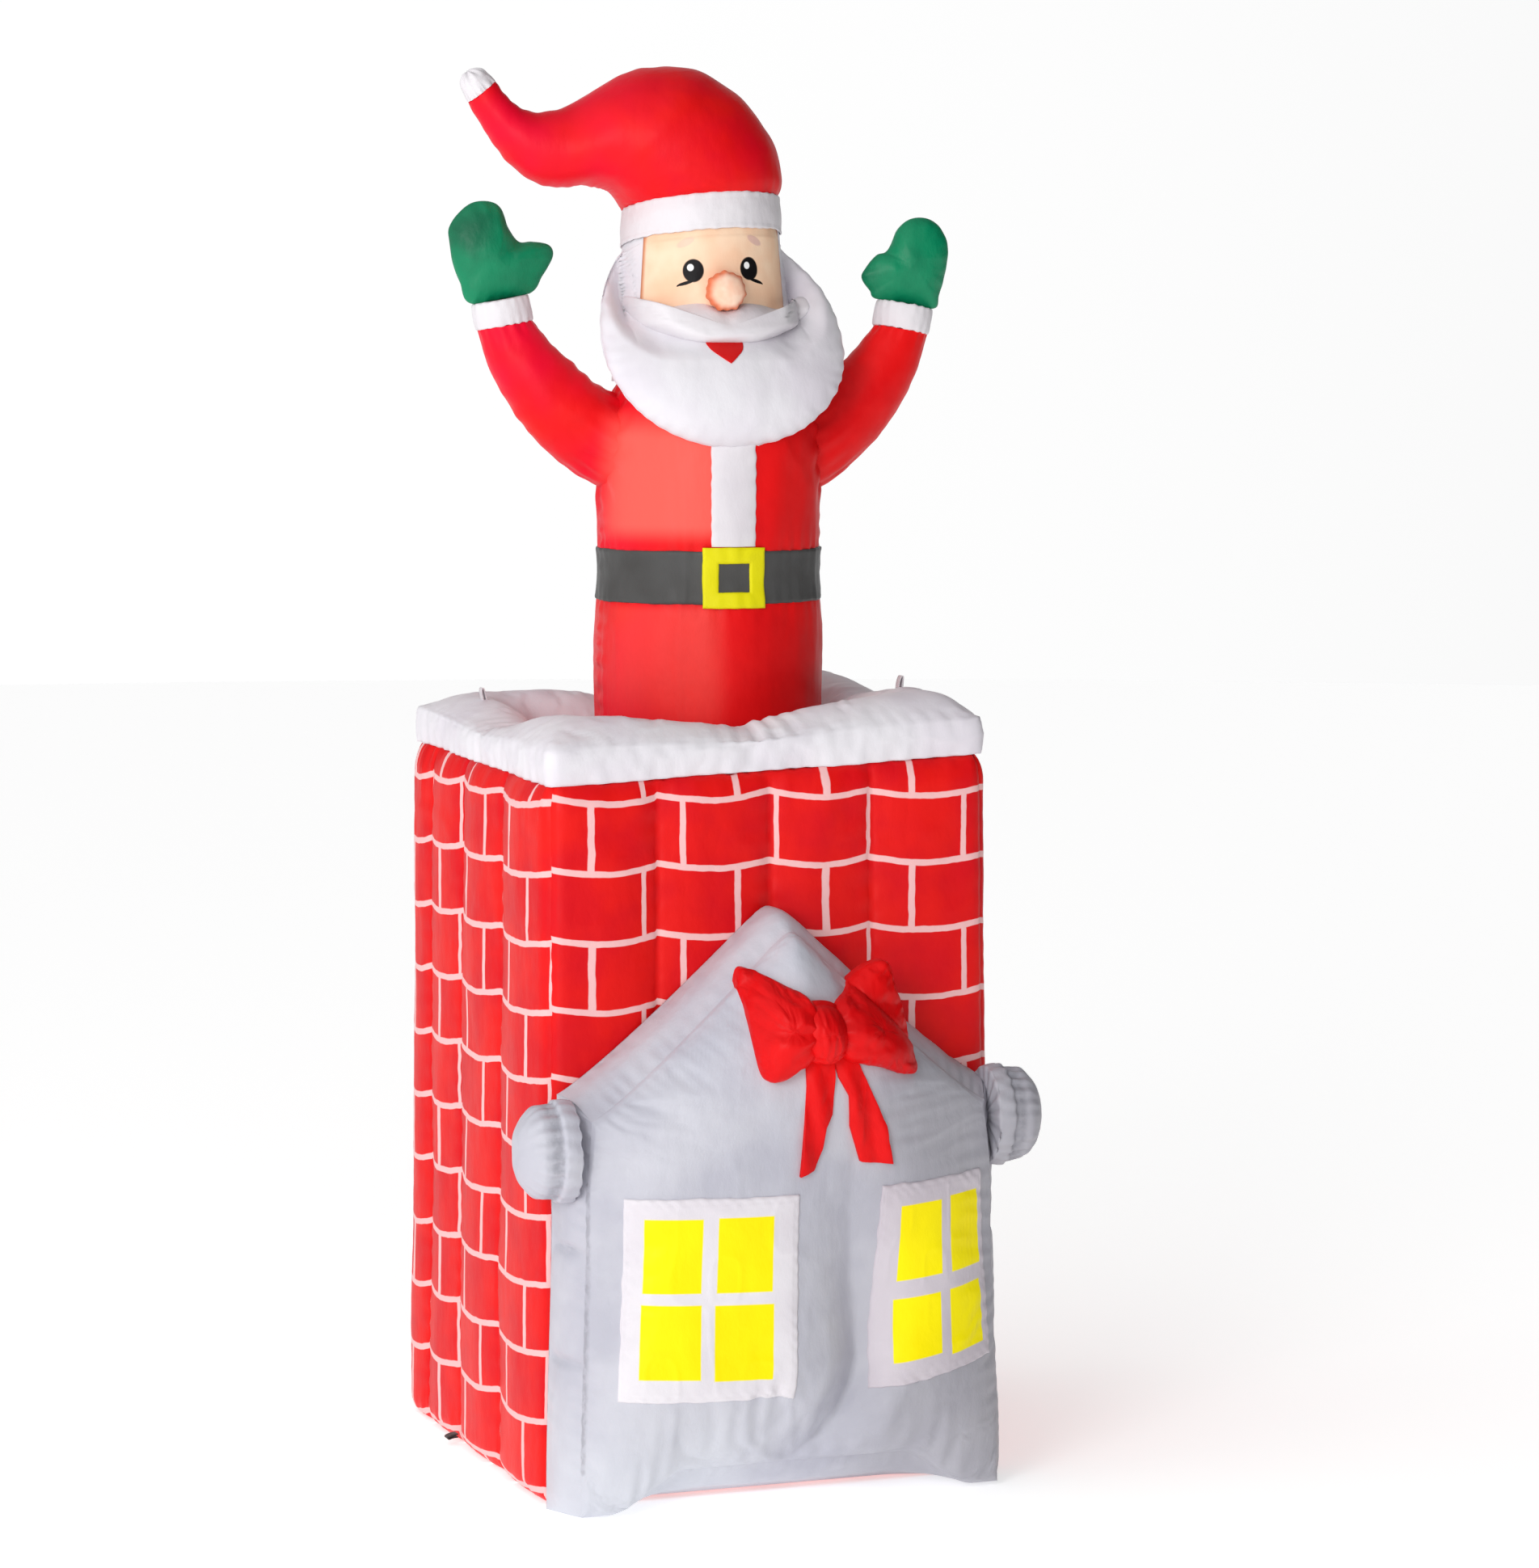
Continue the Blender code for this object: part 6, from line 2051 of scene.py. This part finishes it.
    def eaves(self) -> None:
        """Makes the rolled eaves: short drums with a domed, gathered cap."""
        radius, barrel, dome, tuck = 0.0615, 0.024, 0.046, 0.001
        for name, side, height in (("eave_left", -1, 0.457), ("eave_right", 1, 0.471)):
            start = float(self.half(np.array(height + 0.02))) - (0.001 if side < 0 else 0.005)
            turn = np.linspace(0, 0.5 * math.pi, 34)[1:]
            size = np.concatenate([[0.0, 0.5, 0.9], np.full(22, 1.0), np.cos(turn) ** 0.80])
            out = np.concatenate([
                [-tuck, -tuck, -tuck], np.linspace(-tuck, barrel, 22), barrel + dome * np.sin(turn)
            ])
            size = size * (1 + 0.03 * np.sin(math.pi * unit(out / barrel)))
            angle = full_turn(121)
            reach = radius * size[:, None]
            middle_y = -(self.back(np.array(height)) + 0.85 * radius)
            x = self.middle + side * (start + out[:, None]) + 0 * angle
            grid = packed(x, middle_y - 0.85 * reach * np.cos(angle), height + reach * np.sin(angle))
            run = angle * radius + 0 * x
            edge = out[:, None] - barrel
            edge = np.where(edge > 0, (1 - size[:, None]) * radius, edge)
            lift = puckers(run, edge, 0.019, 0.0034, 0.012, 221 + side) - 0.0042 * hump(edge, 0.0035)
            lift += (
                puckers(run, out[:, None], 0.024, 0.0016, 0.014, 223)
                + 0.0014 * Noise.folds(grid, 0.04, 225)
            )
            lift *= ease(size[:, None] / 0.25)
            printed = packed(np.abs(edge) + 0 * x, 0 * x)
            Shell(name + "_cloth").add(grid, wrap=True, lift=lift, printed=printed).build(GREY, name)

    def windows(self) -> list[Piece]:
        """Makes the window panels, sewn on with a turned edge."""
        made = []
        for name, finish, corners in (
            ("window_left", LEFT_GLASS, self.left_window),
            ("window_right", SHADED_RIGHT_GLASS, self.right_window),
        ):
            low_left, low_right, high_right, high_left = (np.array(corner) for corner in corners)
            share = np.concatenate([[0.0], np.linspace(0, 1, 90), [1.0]])
            u, v = share[None, :, None], share[:, None, None]
            low, high = low_left * (1 - u) + low_right * u, high_left * (1 - u) + high_right * u
            x, z = np.moveaxis(low * (1 - v) + high * v, -1, 0)
            edge = np.minimum(np.minimum(u, 1 - u), np.minimum(v, 1 - v))[..., 0] * 0.22
            wave = 0.0016 * Noise.along(x + z, 0.018, 231) * np.exp(-edge / 0.004)
            x, z = x + wave * (np.abs(u[..., 0] - 0.5) > 0.45), z + wave * (np.abs(v[..., 0] - 0.5) > 0.45)
            proud = 0.0012 + 0.0018 * np.sqrt(unit(edge / 0.004))
            proud -= 0.0009 * hump(edge - 0.0055, 0.0012)
            proud += puckers(x + z, edge, 0.017, 0.0010, 0.010, 232)
            border = np.zeros_like(proud, bool)
            border[0] = border[-1] = border[:, 0] = border[:, -1] = True
            proud = np.where(border, -0.002, proud)
            grid = packed(x, -(self.front(x, z) + proud), z)
            printed = packed(u[..., 0], v[..., 0])
            piece = Shell(name + "_cloth").add(grid, printed=printed).build(finish, name, weld=1e-6)
            made.append(piece)
        return made


@dataclass
class Bow:
    """The red bow on the gable: two puffed loops, a knot and two flat tails."""

    house: House
    x: float = 0.006
    z: float = 0.602
    puff: float = 0.034

    def build(self) -> list[Piece]:
        """Makes every piece of the bow: the loops, the knot and the tails."""
        left = [
            (-0.079, 0.676), (-0.060, 0.674), (-0.036, 0.660), (-0.010, 0.642), (0.000, 0.606),
            (-0.010, 0.572), (-0.030, 0.556), (-0.052, 0.545), (-0.071, 0.550), (-0.080, 0.590),
            (-0.084, 0.640)
        ]
        right = [
            (0.030, 0.634), (0.054, 0.650), (0.088, 0.674), (0.116, 0.678), (0.126, 0.650),
            (0.142, 0.600), (0.145, 0.550), (0.126, 0.543), (0.090, 0.553), (0.036, 0.568),
            (0.022, 0.602)
        ]
        made = [
            self.loop("bow_loop_left", left, (-0.042, 0.610), 241),
            self.loop("bow_loop_right", right, (0.088, 0.606), 245),
            self.knot(),
        ]
        left_tail = [
            (-0.016, 0.575), (-0.016, 0.537), (-0.019, 0.493), (-0.025, 0.424), (-0.006, 0.432),
            (0.004, 0.458), (0.008, 0.484), (0.018, 0.500), (0.022, 0.545), (0.022, 0.578)
        ]
        right_tail = [
            (0.018, 0.578), (0.027, 0.545), (0.041, 0.521), (0.042, 0.484), (0.058, 0.438),
            (0.100, 0.433), (0.092, 0.482), (0.076, 0.517), (0.058, 0.556), (0.046, 0.578)
        ]
        made += [self.tail("bow_tail_left", left_tail, 251), self.tail("bow_tail_right", right_tail, 255)]
        return made

    def blow(self, pieces: Sequence[Piece]) -> None:
        """Blows the two loops and the knot up on the house."""
        for piece in pieces[:3]:
            points = points_of(piece.data)
            held = -points[:, 1] - self.house.front(points[:, 0], points[:, 2]) < 0.010
            Blower().blow(piece, held, 0.03, 0.005)

    def loop(self, name: str, knots: Knots, middle: Sequence[float], seed: int) -> Piece:
        """Makes a puffed loop whose creases run towards the knot."""
        outline = resample(round_loop(knots, 300), 150)

        def lift(x: Array, z: Array, share: Array) -> Array:
            """Creases that run towards the knot, and puckers at the rim."""
            turn = np.arctan2(z - self.z, np.abs(x - self.x))
            away = np.hypot(x - self.x, z - self.z)
            crease = 0.0040 * np.cos(turn * 9 + seed) * hump(away - 0.035, 0.035)
            soft = 0.0024 * Noise.folds(packed(x, 0, z), (0.03, 1.0, 0.03), seed)
            run = np.arctan2(z - middle[1], x - middle[0]) * 0.055
            rim = puckers(run, share * 0.05, 0.017, 0.0026, 0.014, seed + 1)
            return (crease + soft) * np.sqrt(share) + rim * np.sqrt(share)

        return cushion(
            name, outline, middle, self.house.front,
            lambda share: 0.004 + self.puff * np.sin(0.5 * math.pi * share) ** 0.8, RIBBON, lift=lift
        )

    def knot(self) -> Piece:
        """Makes the knot, a fat pad with creases up and down."""
        turn = np.linspace(0, 2 * math.pi, 120, endpoint=False)
        outline = packed(
            self.x + 0.036 * np.sign(np.cos(turn)) * np.abs(np.cos(turn)) ** 0.8,
            self.z + 0.037 * np.sin(turn)
        )

        def lift(x: Array, z: Array, share: Array) -> Array:
            """Creases up and down, and puckers at the rim."""
            soft = 0.0028 * Noise.folds(packed(x, 0, z), (0.016, 1.0, 0.045), 261)
            rim = puckers(x, 0.037 - np.abs(z - self.z), 0.011, 0.0024, 0.016, 262)
            return soft * np.sqrt(share) + rim * np.sqrt(share)

        return cushion(
            "bow_knot", outline, (self.x, self.z), self.house.front,
            lambda share: 0.010 + 0.036 * np.sin(0.5 * math.pi * share) ** 0.75, RIBBON, lift=lift
        )

    def tail(self, name: str, corners: Knots, seed: int) -> Piece:
        """Makes a flat tail with straight cut edges that curls a little off the house."""
        outline = resample(np.asarray(corners, float), 140)
        middle = outline.mean(axis=0)

        def lift(x: Array, z: Array, share: Array) -> Array:
            """A wave across the tail, and finer folds."""
            wave = 0.0022 * np.cos((x + 0.2 * z) * 2 * math.pi / 0.034 + seed) * ease((0.575 - z) / 0.03)
            return wave + 0.0014 * Noise.folds(packed(x, 0, z), (0.02, 1.0, 0.035), seed)

        return cushion(
            name, outline, middle, self.house.front, lambda share: 0.0040 + 0.0018 * np.sqrt(share),
            RIBBON, rings=16, lift=lift
        )


@dataclass
class Studio:
    """Pale floor, bright surroundings, one soft light and the camera."""

    camera_at: tuple[float, float, float] = (-2.157, -6.025, 1.468)
    camera_to: tuple[float, float, float] = (0.0952, -0.0341, 0.8692)
    lens: float = 112.65
    ambient: float = 0.31
    key_share: float = 0.80
    behind_share: float = 0.70
    shade_share: float = 0.30
    floor_glow: float = 0.50
    key_at: tuple[float, float, float] = (-3.3, -3.9, 2.1)
    key_to: tuple[float, float, float] = (0.0, 0.0, 0.9)
    key_size: float = 2.0
    key_watts: float = 85.0

    def build(self) -> None:
        """Sets the floor, the world, the light and the camera."""
        self.floor()
        self.surroundings()
        self.key_light()
        data = bpy.data.cameras.new("studio camera")
        data.lens = self.lens
        data.sensor_width = 36.0
        data.clip_end = 60.0
        camera = bpy.data.objects.new("studio camera", data)
        bpy.context.scene.collection.objects.link(camera)
        self.aim(camera, self.camera_at, self.camera_to)
        bpy.context.scene.camera = camera

    @staticmethod
    def aim(obj: Piece, place: Sequence[float], target: Sequence[float]) -> None:
        """Puts an object at a place and turns its -Z towards the target."""
        obj.location = place
        way = Vector(target) - Vector(place)
        obj.rotation_euler = way.to_track_quat("-Z", "Y").to_euler()

    def key_light(self) -> None:
        """Adds one large soft light at the front left."""
        data = bpy.data.lights.new("key", "AREA")
        data.shape = "DISK"
        data.size = self.key_size
        data.energy = self.key_watts
        key = bpy.data.objects.new("key", data)
        bpy.context.scene.collection.objects.link(key)
        self.aim(key, self.key_at, self.key_to)

    def floor(self) -> None:
        """Makes a wide plain floor."""
        bpy.ops.mesh.primitive_circle_add(
            vertices=64, radius=14.0, fill_type="NGON", location=(0.0, 0.0, 0.0)
        )
        floor = bpy.context.object
        floor.name = "studio_floor"
        paint = Paint("studio floor")
        paint.put(Base_Color=(0.93, 0.93, 0.93), Roughness=0.9, Specular_IOR_Level=0.1)
        paint.put(Emission_Color=(1.0, 1.0, 1.0, 1.0), Emission_Strength=self.floor_glow)
        floor.data.materials.append(paint.material)

    def surroundings(self) -> None:
        """Sets bright surroundings: brightest at the upper left, and bright again behind the object."""
        sky = Sky("studio surroundings")
        key = sky.toward((-0.84, -0.48, 0.25)).fade(-0.05, 1.0)
        behind = sky.toward((0.350, 0.932, -0.093)).fade(0.70, 0.93)
        shade = sky.toward((0.92, -0.40, 0.0)).fade(-0.2, 0.9)
        light = self.ambient + self.key_share * key - self.shade_share * shade
        sky.put(Strength=light + self.behind_share * behind)
        bpy.context.scene.world = sky.material
        bpy.context.scene.view_settings.view_transform = "Standard"


LEFT_MITTEN = (
    (0.036, -0.006), (0.052, 0.022), (0.061, 0.046), (0.065, 0.072), (0.066, 0.090), (0.055, 0.108),
    (0.036, 0.123), (0.013, 0.125), (-0.002, 0.116), (-0.011, 0.092), (-0.025, 0.074), (-0.042, 0.074),
    (-0.064, 0.070), (-0.070, 0.056), (-0.056, 0.030), (-0.036, 0.006),
)  # fmt: skip
RIGHT_MITTEN = (
    (0.036, -0.006), (0.046, 0.012), (0.054, 0.040), (0.058, 0.068), (0.055, 0.087), (0.043, 0.105),
    (0.026, 0.113), (0.006, 0.111), (-0.010, 0.098), (-0.019, 0.078), (-0.027, 0.068), (-0.039, 0.064),
    (-0.054, 0.047), (-0.059, 0.034), (-0.048, 0.018), (-0.036, 0.006),
)  # fmt: skip


def main() -> None:
    """Builds every piece in order."""
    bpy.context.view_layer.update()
    Studio().build()
    chimney = Chimney()
    chimney.build()
    SnowRim(chimney).build()
    TieTabs(chimney).build()
    Torso().build()
    Head().build()
    Hat().build()
    Arm("left", -1, 1.0, 0.002, LEFT_MITTEN).build()
    Arm("right", 1, 0.955, -0.004, RIGHT_MITTEN).build()
    House(chimney).build()
    bpy.context.view_layer.update()


if __name__ == "__main__":
    main()
